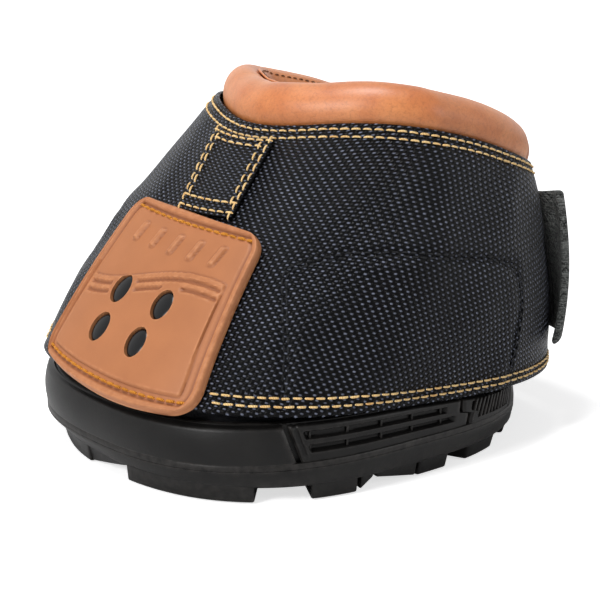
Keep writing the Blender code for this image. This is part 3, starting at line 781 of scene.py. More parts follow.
# %% [markdown]
# ## The sewn upper
#
# The upper is one skin of heavy cloth, cut where the heel flaps fold. Cloth that is sewn never
# lies perfectly even: each stitch row pulls it in, the stiffener sewn in behind each side lifts
# it, and the rest waves a little. One rule gives that relief in metres, and the stitches later
# sit on the same rule, so they stay on the cloth. A cloth simulation isn't used here, because
# this skin is stretched over a stiff lining and keeps its cut shape.

# %% Relief of the sewn cloth
top_rows = (0.975, 0.945)
hem_rows = (0.056, 0.03)
patch_line = [(53.0, 0.03), (51.5, 0.18), (48.5, 0.33), (46.2, 0.44), (47.5, 0.466), (51.0, 0.485),
              (55.0, 0.5), (61.5, 0.518), (75.5, 0.53), (95.0, 0.535), (110.0, 0.532),
              (116.0, 0.518), (119.2, 0.47), (120.5, 0.35), (120.5, 0.03)]
shield_shift = 6.2 * mm


def columns_of(points):
    """Arrays of the first and of the second numbers of pairs."""
    return (np.array(values, float) for values in zip(*points))


def on_plan(turn, rise):
    """A place of the upper laid flat: distance round, and height above the hem."""
    return arc_at(turn, rise), height_at(turn, rise)


foot_round, top_round = (float(arc_at(180.0, rise)) for rise in (0.0, 1.0))
fan_reach = float(height_at(60.0, 1.0)) * foot_round / (foot_round - top_round)
print("the cut cloth fans about a point", round(fan_reach, 3), "m above its hem")


def on_fan(turn, rise):
    """A place of the upper as it was cut flat: the wall is a cone, so it opens into a fan."""
    tip = fan_reach - height_at(turn, rise)
    angle = np.sign(turn) * arc_at(np.abs(turn), rise) / tip
    return tip * np.sin(angle), fan_reach - tip * np.cos(angle)


patch_x, patch_y = on_plan(*columns_of(patch_line))


def off_patch_line(turn, rise):
    """Distance from the line that sews the stiffener in, on either side of the boot."""
    x, y = on_plan(np.abs(from_toe(turn)), rise)
    nearest = np.full(x.shape, 1.0)
    for ax, ay, bx, by in zip(patch_x, patch_y, patch_x[1:], patch_y[1:]):
        share = ((x - ax) * (bx - ax) + (y - ay) * (by - ay)) / ((bx - ax) ** 2 + (by - ay) ** 2)
        share = np.clip(share, 0, 1)
        off = np.hypot(x - ax - share * (bx - ax), y - ay - share * (by - ay))
        nearest = np.minimum(nearest, off)
    return nearest


def cloth_relief(turn, rise):
    """How far the cloth stands out from its cut shape."""
    turn, rise = np.broadcast_arrays(np.asarray(turn, float), np.asarray(rise, float))
    x, y = on_plan(turn, rise)
    tall = height_at(turn, 1.0)
    wave = (np.sin(x * 118 + y * 61 + 0.7) + np.sin(x * 73 - y * 155 + 2.1)
            + np.sin(x * 205 + y * 38 + 4.0) * 0.6 + np.sin(y * 240 + np.sin(x * 90) * 1.4) * 0.5)
    beside_shield = ramp(np.abs(x - shield_shift), 47 * mm, 58 * mm)
    beside_strap = ramp(np.abs(x), 19 * mm, 27 * mm)
    free = np.where(rise > 0.62, beside_strap, beside_shield) * (1 - ramp(np.abs(turn), 116, 124))
    off = off_patch_line(turn, rise)
    out = free * (wave * 0.28 * mm + 0.35 * mm * np.exp(-((off - 4 * mm) / (3 * mm)) ** 2))
    out -= free * 0.7 * mm * np.exp(-(off / (1.3 * mm)) ** 2)
    pressed = np.exp(-((turn - 137) / 13) ** 2) * ramp(rise, 0.0, 0.12)
    out -= 1.5 * mm * (pressed * (1 - ramp(rise, 0.55, 0.85)))
    for row in top_rows + hem_rows:
        out -= 0.3 * mm * np.exp(-((rise - row) * tall / (1.1 * mm)) ** 2)
    return out


def off_wall(turn, rise):
    """How far the outer flap stands off, so that it clears the inner flap it laps over."""
    turn = np.asarray(turn, float)
    flush = ramp(rise, 0.87, 0.92) * (1 - ramp(turn, 152.0, 172.0))
    return (3.2 - 3.0 * flush) * mm * ramp(-turn, -235.0, -227.0)


def tongue_top(turn):
    """Share of the height that the inner flap reaches: less under the outer flap's collar."""
    return 1 - 0.12 * ramp(turn, 137.0, 138.5)


def lapped(turn, rise):
    """The outer flap's free edge reaches further round at its head, to carry its collar."""
    return turn - 10.0 * ramp(rise, 0.85, 0.91) * (1 - ramp(turn, 160.0, 182.0))


def declare_cut(piece, turns, cut):
    """Says what a piece of cloth was cut to, from its outline laid flat."""
    foot, head = np.zeros(len(turns)), np.ones(len(turns))
    x, y = cut(np.concatenate([turns, turns[::-1]]), np.concatenate([foot, head]))
    area = abs(float(np.sum(x * np.roll(y, -1) - y * np.roll(x, -1)))) / 2
    wide, long = float(np.ptp(x)), float(np.ptp(y))
    print(piece.name, "cut from", round(wide, 3), "x", round(long, 3), "m, area", round(area, 4))


def cloth_sheet(name, first, last, ends, node, body_name, stand_off=None, top=None, edge=None):
    """A length of the upper's cloth between two turns."""
    turns, rises, scales = wall_marks(first, last, 0.0, 1.0, 1.3 * mm, fabric / 2, ends)

    def real(turn, rise):
        return rise * top(turn) if top else rise

    def place(turn, rise, out):
        rise = real(turn, rise)
        turn = edge(turn, rise) if edge else turn
        lift = stand_off(turn, rise) if stand_off else 0.0
        return wall(turn, rise, out + lift + cloth_relief(turn, rise))

    def cut(turn, rise):
        return on_fan(turn - 360 if last > 200 else turn, real(turn, rise))

    made = sheet(name, turns, rises, place, -fabric, 0.0, ballistic, scales, (ends, both), cut)
    declare_cut(made, turns, cut)
    carry(made, body_name, "ballistic_fabric", node, bends=True)


# %% [markdown]
# The cloth runs without a seam from the front into both flaps, so the pieces meet butt to butt
# six degrees ahead of each fold.

# %% Cloth of the front and of both flaps
seam_turn, inner_end, outer_start = 118.0, 184.0, 160.0
cloth_sheet("upper_cloth", -seam_turn, seam_turn, neither, "upper_shell", "boot")
cloth_sheet("inner_flap_cloth", seam_turn, inner_end, (False, True), "inner_flap_panel",
            "inner_flap", top=tongue_top)
cloth_sheet("outer_flap_cloth", outer_start, 360 - seam_turn, (True, False), "outer_flap_panel",
            "outer_flap", off_wall, edge=lapped)

# %% [markdown]
# ## Padded lining and footbed
#
# The hoof rests on a footbed and against a foam lining covered in brushed knit. The lining is
# modelled as a thick sheet with rounded edges, crowned between quilting lines.

# %% Linings
quilt_pitch = 17 * mm
lining_front, lining_back = -4.0 * mm, -6.6 * mm


def crown(turn, rise):
    """Depth of the lining's face, which is drawn in along each quilting line."""
    y = on_plan(turn, rise)[1]
    channel = np.abs((y / quilt_pitch + 0.35) % 1 - 0.5) * quilt_pitch
    return lining_back + 0.9 * mm * np.exp(-(channel / (1.5 * mm)) ** 2)


def lining(name, first, last, node, body_name, high):
    turns, rises, scales = wall_marks(first, last, 0.02, high, 2.2 * mm, 1.3 * mm)
    made = sheet(name, turns, rises, wall, crown, lining_front, padding, scales, sharp=None)
    carry(made, body_name, "black_padding", node)


lining("upper_padding", -123.7, 123.7, "upper_lining", "boot", 0.85)
lining("inner_flap_padding", 124.3, inner_end, "inner_flap_lining", "inner_flap", 0.83)
lining("outer_flap_padding", 187.0, 235.7, "outer_flap_lining", "outer_flap", 0.83)

# %% Footbed
rand_thickness = 1.5 * mm
bed_inset = cup_inside + gap + rand_thickness + gap
bed_low, bed_high = cup_floor + gap, cup_floor + gap + 3.0 * mm
bed_turns = np.arange(0, 360, 2.5)
bed_steps = [(bed_inset + 72 * mm * share, bed_low) for share in (1.0, 0.5, 0.0)]
bed_steps += [(bed_inset, bed_high - 1.0 * mm), (bed_inset + 0.4 * mm, bed_high - 0.3 * mm)]
bed_steps += [(bed_inset + 1.0 * mm + 71 * mm * share, bed_high) for share in np.linspace(0, 1, 30)]
bed_rings = []
for inset, height in bed_steps:
    share = max(0.0, 1 - (inset - bed_inset) / (half_width - bed_inset - 0.2 * mm))
    ring = base_point(bed_turns, bed_inset, height) * np.array([share, share, 1.0])
    dimples = np.sin(ring[:, 0] * 560) * np.sin(ring[:, 1] * 560)
    if height == bed_high:
        ring[:, 2] -= 0.35 * mm * (dimples > 0.1) * dimples
    bed_rings.append(ring)
bed = bar("footbed_pad", np.stack(bed_rings, 1), padding, closed=True)
carry(bed, "boot", "black_padding", "footbed")

# %% [markdown]
# ## The padded collar
#
# The collar is soft leather drawn round a foam roll and sewn along its foot. Its section follows
# a rule, an oval seated against the cloth's inner edge, so Geometry Nodes make it: every point
# carries the middle of its section, the way out and its angle, and the tree sets the point on
# the oval, swells the roll a little unevenly and gathers the leather towards its seam.

# %% Collar tree
collar_deep, collar_high = 18.6 * mm, 20.5 * mm


def attribute(name, kind="FLOAT_VECTOR"):
    return put("GeometryNodeInputNamedAttribute", {"data_type": kind}, Name=name)[0]


def close_tree(start, geometry):
    """Makes a tree's result real, gives it its finish and puts it out."""
    real = put("GeometryNodeRealizeInstances", Geometry=geometry)[0]
    return close_group(Geometry=put("GeometryNodeSetMaterial", Geometry=real,
                                    Material=start["Finish"])[0])


def make_collar_tree():
    start = new_group("collar_roll", "Geometry", ["Geometry"], Geometry="Geometry",
                      Depth=collar_deep, Height=collar_high, Swell=0.5 * mm, Gather=0.35 * mm,
                      Finish="Material")
    centre = attribute("centre")
    angle, along, fill = (attribute(name, "FLOAT") for name in ("angle", "along", "fill"))
    lumps = noise(centre, 42.0, 1.0) - 0.5
    foot = calc("MAXIMUM", calc("SINE", angle) * -1.0, 0.0)
    pleat = calc("SINE", along * 1150.0) * foot * start["Gather"]
    extra = lumps * start["Swell"] * 2.0 + pleat
    across = (start["Depth"] * 0.5 + extra) * calc("COSINE", angle) * fill
    up = (start["Height"] * 0.5 + extra) * calc("SINE", angle) * fill
    moved = vector("ADD", vector("SCALE", attribute("level"), Scale=across),
                   i1=put("ShaderNodeCombineXYZ", Z=up)[0])
    return close_tree(start, put("GeometryNodeSetPosition", Geometry=start["Geometry"],
                                 Position=vector("ADD", centre, i1=moved))[0])


collar_tree = make_collar_tree()


def apply_tree(piece, tree, sharp, **values):
    """Adds a tree to a piece, sets its inputs by their identifiers, and keeps the plain mesh."""
    step = piece.modifiers.new(tree.name, "NODES")
    step.node_group = tree
    for item in tree.interface.items_tree:
        if item.in_out == "INPUT" and item.name in values:
            step[item.identifier] = values[item.name]
    settle(piece, sharp)
    for label in ("centre", "level", "angle", "along", "fill", "out"):
        if label in piece.data.attributes:
            piece.data.attributes.remove(piece.data.attributes[label])
    return piece


def collar_sag(turn):
    """The roll sinks a little over the toe's left, and stands up beside the shield."""
    turn = from_toe(turn)
    sunk = ramp(turn, -130.0, -95.0) * (1 - ramp(turn, -48.0, -18.0))
    return -2.2 * mm * sunk + 2.2 * mm * np.exp(-((turn - 12) / 26) ** 2)


def collar_centre(turn):
    """Middle of the collar's section, seated on the cloth's inner edge, and its way out."""
    outward = wall_frame(turn)[2]
    level = unit(outward * np.array([1.0, 1.0, 0.0]))
    lift = arched(turn, 1.5 * mm, 5.5 * mm, 0) + collar_sag(turn)
    low = (lift + fabric * outward[..., 2]) / (collar_high / 2)
    inward = fabric * np.sum(level * outward, -1) + gap + collar_deep / 2 * np.sqrt(1 - low ** 2)
    return mouth_point(turn) - level * inward[..., None] + upright * lift[..., None], level


def collar_roll(name, first, last, ends, body_name):
    """A length of collar; an end that is free closes in a soft round."""
    scale = metres_a_turn(first, last, 1.0)
    end_round, facets, start_radius = 5.0 * mm, 48, 0.01
    turns = spaced(first, last, 1.6 * mm / scale, end_round / scale, ends)
    off = 1 - np.clip(edge_distance(turns, scale, ends) / end_round, 0, 1)
    fill = np.sqrt(np.maximum(0.0, 1 - off ** 2)) * 0.995 + 0.005
    centre, level = collar_centre(turns)
    angles = np.linspace(0, 2 * math.pi, facets, endpoint=False)
    rings = (centre[:, None] + start_radius * level[:, None] * np.cos(angles)[None, :, None]
             + start_radius * upright * np.sin(angles)[None, :, None])
    made = bar(name, rings, leather)
    mesh = made.data
    points = np.empty(len(mesh.vertices) * 3)
    mesh.vertices.foreach_get("co", points)
    order = np.array([np.argmin(np.sum((rings.reshape(-1, 3) - point) ** 2, 1))
                      for point in points.reshape(-1, 3)])
    column, ring = order // facets, order % facets
    for label, values in (("centre", centre[column]), ("level", level[column]),
                          ("angle", angles[ring]), ("along", arc_at(turns, 1.0)[column]),
                          ("fill", fill[column])):
        kind, field = ("FLOAT_VECTOR", "vector") if values.ndim == 2 else ("FLOAT", "value")
        mesh.attributes.new(label, kind, "POINT").data.foreach_set(field, values.ravel())
    apply_tree(made, collar_tree, fold_sharp, Depth=collar_deep, Height=collar_high, Finish=leather)
    node = "front_collar" if body_name == "boot" else body_name + "_collar"
    carry(made, body_name, "tan_leather", node + "_cover", node + "_foam", bends=True)


# %% Three lengths of collar
collar_seam = 112.0
collar_roll("front_collar_roll", -collar_seam, collar_seam, neither, "boot")
collar_roll("inner_flap_collar_roll", collar_seam, 138.4, (False, True), "inner_flap")
collar_roll("outer_flap_collar_roll", 139.6, 360 - collar_seam, (True, False), "outer_flap")

# %% [markdown]
# ## Front strap and shield
#
# A strap of the same cloth runs down the front and is caught under the shield, a tan moulding
# with a raised rim. The shield lies on the curved front, so it is a grid of places across and
# up it, each moved out by a height rule: plate, stitch groove, rolled rim and shallow ribs.

# %% Front strap
shield_low, shield_span = -0.0127, 0.6093
shield_bow, shield_lean = 0.025, -0.02
shield_tall = float(np.linalg.norm(wall(0.0, shield_low + shield_span) - wall(0.0, shield_low)))
top_half, foot_half, corner = 35.9 * mm, 43.3 * mm, 9.5 * mm


def shield_half(high):
    """Half the shield's width at a height above its foot, with its rounded corners."""
    half = foot_half + (top_half - foot_half) * high / shield_tall
    edge = np.minimum(np.minimum(high, shield_tall - high), corner)
    return half - corner + np.sqrt(np.maximum(0, corner ** 2 - (corner - edge) ** 2))


def shield_rise(across, high):
    """Rise of a place on the shield, whose top and bottom edges bow outwards; its right side
    hangs a little lower than its left."""
    share = high / shield_tall
    bowed = shield_bow * (2 * share - 1) * (1 - across ** 2)
    return shield_low + shield_span * share + bowed + shield_lean * across


def on_shield(across, high, out):
    """A place on the shield: across from -1 to 1, and high in metres above its foot."""
    rise = shield_rise(across, high)
    middle = 7.2 * mm - 2.0 * mm * high / shield_tall
    return wall(turn_at(middle + shield_half(high) * across, rise), rise, out)


strap_foot, strap_head = float(shield_rise(0.0, shield_tall + 2 * gap)), 0.935


def on_strap(across, up, out):
    """A place on the front strap: across from -1 to 1, up from 0 to 1."""
    rise = strap_foot + (strap_head - strap_foot) * up
    arc = 7.5 * mm * (1 - up) + (14.2 * mm + 2.5 * mm * up) * across
    return wall(turn_at(arc, rise), rise, out)


strap_half, strap_long = 15.0 * mm, 39.0 * mm
strap_across = spaced(-1.0, 1.0, 1.0 / 15, 0.7 / 15)
strap_up = spaced(0.0, 1.0, 1.0 / 39, 0.7 / 39, (False, True))
front_strap = sheet("front_strap_cloth", strap_across, strap_up, on_strap, gap, gap + 1.4 * mm,
                    ballistic, (strap_half, strap_long), (both, (False, True)),
                    lambda u, v: (u * 15.5 * mm + 0.4 * mm, v * strap_long))
carry(front_strap, "boot", "ballistic_fabric", "front_strap")

# %% Relief of the shield
holes = [(-0.33, 0.505), (0.29, 0.505), (-0.325, 0.29), (0.21, 0.295)]
hole_wide, hole_tall = 4.6 * mm, 5.8 * mm
plate_top = gap + 2.3 * mm


def hump(distance, width):
    """1 on a line and 0 beyond a width from it, rounded like a moulded rib."""
    return np.sqrt(np.maximum(0.0, 1 - (distance / width) ** 2))


def shield_relief(across, high):
    """Height of the shield's face above its plate."""
    half = shield_half(high)
    x, up = half * across, high / shield_tall
    inset = np.minimum(np.minimum((1 - np.abs(across)) * half, high), shield_tall - high)
    wide = 2.8 * mm - 1.6 * mm * ramp(-across, 0.93, 0.97) * ramp(inset, 0.0, 0.3 * mm)
    rim_top = 1.1 * mm * hump(np.maximum(np.abs(inset - wide / 2) - 0.2 * mm, 0), wide / 2)
    edge = -1.2 * mm * (1 - ramp(inset, 0.0, 0.9 * mm))
    groove = -0.35 * mm * hump(inset - wide - 0.7 * mm, 0.7 * mm)
    brow = (0.60 + 0.10 * np.sin(across * 2.0 + 0.5)) * shield_tall
    plateau = 0.9 * mm * ramp(brow - high, 0.0, 0.4 * mm) * ramp(inset, 6.2 * mm, 6.6 * mm)
    lines, ribs, clear = np.zeros(x.shape), np.zeros(x.shape), np.ones(x.shape)
    for off in (3.0, 6.2):
        lines = np.minimum(lines, -1.0 * mm * hump(brow - high - off * mm, 0.8 * mm))
    lines = lines * (1 - ramp(np.abs(across), 0.80, 0.84))
    for place in np.arange(-22, 23, 11.0) * mm:
        slant = x - place - 0.25 * (high - 0.80 * shield_tall)
        ribs = np.maximum(ribs, 1.1 * mm * hump(slant, 1.5 * mm))
    ribs = ribs * ramp(up, 0.755, 0.765) * (1 - ramp(up, 0.86, 0.87))
    for place, share in holes:
        off = np.hypot((x - place * shield_half(share * shield_tall)) / hole_wide,
                       (high - share * shield_tall) / hole_tall)
        clear = clear * ramp(off, 1.35, 1.5)
    return edge + rim_top + groove + plateau + clear * (lines + ribs)


# %% Shield with its vents cut through


def vent_frame(across, share):
    """Middle of a vent, with directions across, up and out."""
    high = share * shield_tall
    step = 2 * mm / foot_half
    centre, left, right, above = (on_shield(np.array([u]), np.array([v]), 0.0)[0] for u, v in (
        (across, high), (across - step, high), (across + step, high), (across, high + 4 * mm)))
    side = right - left
    out = unit(np.cross(side, above - centre))
    side = unit(side)
    return centre, side, np.cross(out, side), out


def vent_rings(across, share, sizes, facets=40):
    """Oval rings that stand square to the shield; sizes holds (share of the vent, height)."""
    centre, side, up, out = vent_frame(across, share)
    angles = np.linspace(0, 2 * math.pi, facets, endpoint=False)
    return np.array([[centre + out * height + side * (hole_wide * size * math.cos(angle))
                      + up * (hole_tall * size * math.sin(angle)) for angle in angles]
                     for size, height in sizes])


columns = spaced(-1.0, 1.0, 0.5 / 39, 1.0 / 39)
rows = spaced(0.0, shield_tall, 0.5 * mm, 1.0 * mm)
u, v = np.meshgrid(columns, rows, indexing="ij")
face = on_shield(u, v, plate_top + shield_relief(u, v)).reshape(-1, 3)
rear = on_shield(u, v, np.full(u.shape, gap)).reshape(-1, 3)
shield = new_piece("moulded_shield", np.concatenate([face, rear]), shell_faces(*u.shape), moulding)
through = ((1.0, -2 * mm), (1.0, 6 * mm))
combine(shield, [bar("vent", vent_rings(*hole, through), moulding) for hole in holes],
        "DIFFERENCE", "EXACT", sharp=48)
carry(shield, "boot", "tan_moulding", "front_shield")
print("shield height", round(shield_tall, 4), "m")

# %% [markdown]
# Behind the vents lies a thin black backing. It carries a glossy dome in each vent.

# %% Backing and domes
margin, backing_half = 12.8 * mm, 39.25 * mm
columns = np.linspace(margin / backing_half - 1, 1 - margin / backing_half, 24)
rows = np.linspace(margin, shield_tall - margin, 24)
backing = sheet("vent_backing", columns, rows, on_shield, gap, gap + 0.7 * mm, gloss, (1, 1),
                (neither, neither), sharp=50)
dome_share, dome_foot, dome_high = 0.93, gap + 1.9 * mm, 1.1 * mm
dome_sizes = [(dome_share, gap + 0.35 * mm), (dome_share, dome_foot)]
dome_sizes += [(dome_share * math.cos(a), dome_foot + dome_high * math.sin(a))
               for a in np.linspace(0.15, 1.5, 8)]
domes = [bar("dome", vent_rings(*hole, dome_sizes), gloss, sharp=50) for hole in holes]


def join(kept, others):
    """Adds the meshes of other pieces to a piece."""
    shaped = bmesh.new()
    for piece in [kept] + others:
        shaped.from_mesh(piece.data)
    for piece in others:
        bpy.data.objects.remove(piece)
    shaped.to_mesh(kept.data)
    shaped.free()
    return kept


carry(join(backing, domes), "boot", "black_gloss", "shield_backing")

# %% [markdown]
# ## The moulded base
#
# The tread has lugs round its edge and pads down its middle, under a cup with a step that
# carries the bands. Each part is a bar swept round the outline, and a small bevel rounds its
# edges as a mould does. The lugs are joined to the tread with booleans, so it is one solid.

# %% Tread
ring_turns = np.arange(0, 360, 1.5)
seam_gap = 0.04 * mm


def swept(name, turns, rows, closed=False, sharp=None):
    """A rubber bar that runs round the outline; rows hold (share of the reach, inset, height)."""
    rings = [base_point(turns, inset, height) * np.array([share, share, 1.0])
             for share, inset, height in rows]
    return bar(name, np.stack(rings, 1), rubber, closed=closed, sharp=sharp)


def toe_cut(turn):
    """How far the tread is cut back under the toe's left, where the hoof breaks over."""
    return 4.6 * mm * np.exp(-((from_toe(turn) + 32) / 22) ** 2)


cut_back, seam = toe_cut(ring_turns), parting(ring_turns)
shelf, brim = seam + ledge_height, rim(ring_turns)
tread = swept("tread", ring_turns, [
    (0.0, 2.0 * mm, lug_depth), (0.5, 2.0 * mm, lug_depth), (1.0, 2.6 * mm + cut_back, lug_depth),
    (1.0, 1.4 * mm + cut_back, lug_depth + 0.4 * mm),
    (1.0, 0.75 * mm + 0.8 * cut_back, lug_depth + 1.3 * mm),
    (1.0, 0.2 * mm + 0.2 * cut_back, seam - 1.6 * mm), (1.0, 0.0 * mm, seam - 0.7 * mm),
    (1.0, 0.03 * mm, seam - 0.2 * mm), (1.0, 0.2 * mm, seam - seam_gap),
    (0.0, 2.0 * mm, 11.0 * mm)], closed=True)


def lug(first, last, lift, inset=tread_inset, end_lift=None):
    """A lug between two turns; its underside may climb from lift to end_lift."""
    inner = tread_inset + lug_taper + lug_width
    turns = np.linspace(first, last, max(4, int((last - first) / 2)))
    under = np.linspace(lift, lift if end_lift is None else end_lift, len(turns))
    made = swept("lug", turns, [(1.0, inset + toe_cut(turns), under),
                                (1.0, 0.45 * inset + toe_cut(turns), lug_depth + lug_sink),
                                (1.0, inner, lug_depth + lug_sink),
                                (1.0, inner - lug_taper, under)])
    return bevel(made, 0.8 * mm, 3)


def four_sided(name, x, y, levels, round_off, segments, lean=0.0):
    """A rubber block about a place; levels hold (half its width, half its depth, height)."""
    rings = [[(x - wide, y - deep, height), (x + wide, y - deep, height),
              (x + wide + lean, y + deep, height), (x - wide + lean, y + deep, height)]
             for wide, deep, height in levels]
    return bevel(bar(name, rings, rubber), round_off, segments)


lugs = [lug(11.5, 47.0, 0.0, 1.6 * mm), lug(-47.0, -6.4, 0.0, 1.6 * mm),
        lug(-7.0, 9.9, 0.2 * mm, 2.4 * mm, 4.4 * mm), lug(162.0, 198.0, 0.8 * mm)]
for first, last, inset in ((60.5, 73.0, 2.2), (93.5, 104.0, 2.8),
                           (112.0, 124.0, 3.0), (135.0, 151.0, 3.4)):
    lugs += [lug(first, last, 0.0, inset * mm), lug(-last, -first, 0.0, inset * mm)]
for first, last, near, far in ((74.0, 78.0, 0.4, 4.2), (79.0, 92.5, 3.6, 0.5)):
    lugs += [lug(first, last, near * mm, 2.4 * mm, far * mm),
             lug(-last, -first, far * mm, 2.4 * mm, near * mm)]
pad_wide, pad_long, lug_ring = 12.0 * mm, 9.0 * mm, 23.6 * mm
pad_levels = [(pad_wide + flare, pad_long + flare, height)
              for flare, height in ((0, 0), (lug_taper, lug_depth + lug_sink))]
pitch = toe_reach - lug_ring - 8.4 * mm - pad_long
spread_x = half_width - lug_ring - 8.8 * mm - pad_wide
for x, y in ((0, -1), (0, 0), (0, 1), (-1, -0.5), (1, -0.5), (-1, 0.5), (1, 0.5)):
    lugs.append(four_sided("pad", x * spread_x, y * pitch, pad_levels, 1.1 * mm, 3))
carry(combine(tread, lugs, "UNION", "MANIFOLD", sharp=40), "boot", "black_rubber", "outsole")

# %% Cup
cup = swept("cup", ring_turns, [
    (0.0, 2.0 * mm, 12.0 * mm), (1.0, 0.2 * mm, seam), (1.0, 0.03 * mm, seam + 0.05 * mm),
    (1.0, 0.0, seam + 0.2 * mm), (1.0, 0.0, shelf - 0.02 * mm), (1.0, 0.02 * mm, shelf),
    (1.0, band_thickness, shelf), (1.0, band_thickness, brim - 0.6 * mm),
    (1.0, band_thickness + 0.6 * mm, brim), (1.0, cup_inside - 0.6 * mm, brim),
    (1.0, cup_inside, brim - 0.6 * mm), (1.0, cup_inside, np.minimum(cup_floor, brim - gap)),
    (0.0, 2.0 * mm, cup_floor)], closed=True, sharp=55)
carry(cup, "boot", "black_rubber", "base_cup")

# %% [markdown]
# ## Bands, inserts and vents
#
# On the cup's step sit a smooth toe band, a slotted insert on each side, a vented panel and a
# heel band. The inserts and vents are plates over a grid whose end lines may slant or step, with
# long windows sunk in them. What repeats in the windows, ticks and slanted ribs, is set out by
# Geometry Nodes along a line.

# %% Panels on the cup


def panel_point(turn, share, inset):
    """A place on the bands' face: share runs from the step to the rim."""
    foot, top = parting(turn) + ledge_height + seam_gap, rim(turn)
    return base_point(turn, inset, foot + (top - foot) * share)


def plate(name, node, start, end, face, rows, along=None):
    """A rubber plate on the cup. start and end give its end turns at each height share, and
    face(distance from start, share) its inset at that place."""
    if along is None:
        length = abs(end(0.5) - start(0.5)) * math.radians(1) * half_width
        along = np.linspace(0, 1, int(length / (0.8 * mm)))
    s, h = np.meshgrid(along, rows, indexing="ij")
    turns = start(h) + (end(h) - start(h)) * s
    front, rear = (panel_point(turns, h, inset).reshape(-1, 3)
                   for inset in (face(s, h), band_thickness - gap))
    made = new_piece(name, np.concatenate([front, rear]), shell_faces(*s.shape), rubber, sharp=45)
    carry(made, "boot", "black_rubber", node)


def slanted(turn, lean):
    """An end line that leans with height."""
    return lambda share: turn + lean * (np.asarray(share) - 0.5)


def mirrored(line, sign, shift=0.0):
    return lambda share: sign * (line(share) + shift)


def rounded_face(inset, top_inset, swell, ends):
    """A face that swells a little, and rolls back at its top, its foot and its ends."""
    def face(s, h):
        roll = 1.6 * mm * ramp(h, 0.86, 1.0) ** 2 + top_inset * h ** 2
        low = 0.02 * mm * (1 - ramp(h, 0.0, 0.03))
        side = 0.35 * mm * 2 * (2 - ramp(s, 0.0, ends[0]) - ramp(1 - s, 0.0, ends[1]))
        return inset - swell * np.sin(np.pi * np.clip(h, 0, 1)) + roll + low + side
    return face


toe_lean, heel_lean = 3.4, 5.0
band_rows = np.concatenate([[0, 0.02, 0.05], np.linspace(0.1, 0.84, 14),
                            [0.88, 0.92, 0.95, 0.975, 0.99, 1.0]])
plate("toe_band_cap", "toe_band", slanted(-55.0, toe_lean), slanted(55.0, -toe_lean),
      rounded_face(0.0, 1.0 * mm, 0.8 * mm, (0.008, 0.008)), band_rows)

# %% Side inserts with sunk windows
window_rows = ((0.57, 0.79), (0.22, 0.44))
window_ends = (0.055, 0.90)
insert_inset, window_deep = 0.5 * mm, 2.0 * mm


def window(s, h, low, high, first, last, soft=0.012):
    """1 inside a window, 0 outside."""
    return (ramp(s, first, first + soft) * (1 - ramp(s, last - soft, last))
            * ramp(h, low, low + 0.05) * (1 - ramp(h, high - 0.05, high)))


def insert_face(s, h):
    inset = rounded_face(insert_inset, 0.8 * mm, 0.0, (0.01, 0.01))(s, h)
    for low, high in window_rows:
        inset = inset + window_deep * window(s, h, low, high, *window_ends)
    frame_line = (ramp(s, 0.018, 0.026) * (1 - ramp(s, 0.034, 0.042))) * ramp(h, 0.08, 0.14)
    return inset + 0.5 * mm * frame_line


insert_rows = [0, 0.02, 0.05, 0.1, 0.15, 0.2, 0.225, 0.25, 0.3, 0.35, 0.4, 0.425, 0.45, 0.5, 0.55,
               0.575, 0.6, 0.65, 0.7, 0.75, 0.775, 0.8, 0.84, 0.88, 0.92, 0.95, 0.98, 1.0]
insert_along = np.unique(np.concatenate([
    np.linspace(0, 1, 60), [0.005, 0.01, 0.018, 0.022, 0.026, 0.034, 0.038, 0.042],
    window_ends[0] + np.linspace(0, 0.012, 4), window_ends[1] - np.linspace(0, 0.012, 4)]))


def step_line(share):
    """The stepped end of an insert: low down it runs further back than above."""
    share = np.asarray(share, float)
    return 107.5 + 3.6 * (1 - ramp(share, 0.42, 0.52)) + 2.2 * (share - 0.5)


for side, sign in boot_sides.items():
    plate("slotted_insert_" + side, "side_insert_" + side,
          mirrored(slanted(56.2, -toe_lean), sign), mirrored(step_line, sign), insert_face,
          insert_rows, insert_along)

# %% Vented heel quarters and heel bands
vent_inset, vent_deep = 0.1 * mm, 1.5 * mm
vent_low, vent_high, vent_first, vent_last = 0.17, 0.84, 0.12, 0.93


def vent_face(s, h):
    inset = rounded_face(vent_inset, 0.9 * mm, 0.0, (0.03, 0.02))(s, h)
    sunk = window(s, h, vent_low, vent_high, vent_first, vent_last, soft=0.02)
    return inset + vent_deep * sunk


vent_rows = [0, 0.02, 0.06, 0.12, 0.17, 0.195, 0.22, 0.3, 0.4, 0.5, 0.6, 0.7, 0.79, 0.815, 0.84,
             0.88, 0.92, 0.95, 0.98, 1.0]
vent_along = np.unique(np.concatenate([np.linspace(0, 1, 30), [0.01, 0.02, 0.03, 0.98, 0.99],
                                       [0.12, 0.13, 0.14, 0.91, 0.92, 0.93]]))
for side, sign in boot_sides.items():
    plate("vented_quarter_" + side, "heel_vent_" + side, mirrored(step_line, sign, 0.7),
          mirrored(slanted(131.5, heel_lean), sign), vent_face, vent_rows, vent_along)
    plate("heel_band_cap_" + side, "heel_band_" + side, mirrored(slanted(132.6, heel_lean), sign),
          mirrored(slanted(179.7, 0.0), sign), rounded_face(0.0, 1.0 * mm, 0.0, (0.01, 0.0001)),
          band_rows)

# %% [markdown]
# ## Ribs, ticks and stitches along a path
#
# One tree sets out a small shape along a line: it spaces places evenly by their pitch, turns
# each shape so that its length follows the line and its top faces the way that the surface
# faces, varies it a little with a fixed seed, and makes the result real.

# %% A tree that repeats a shape along a path


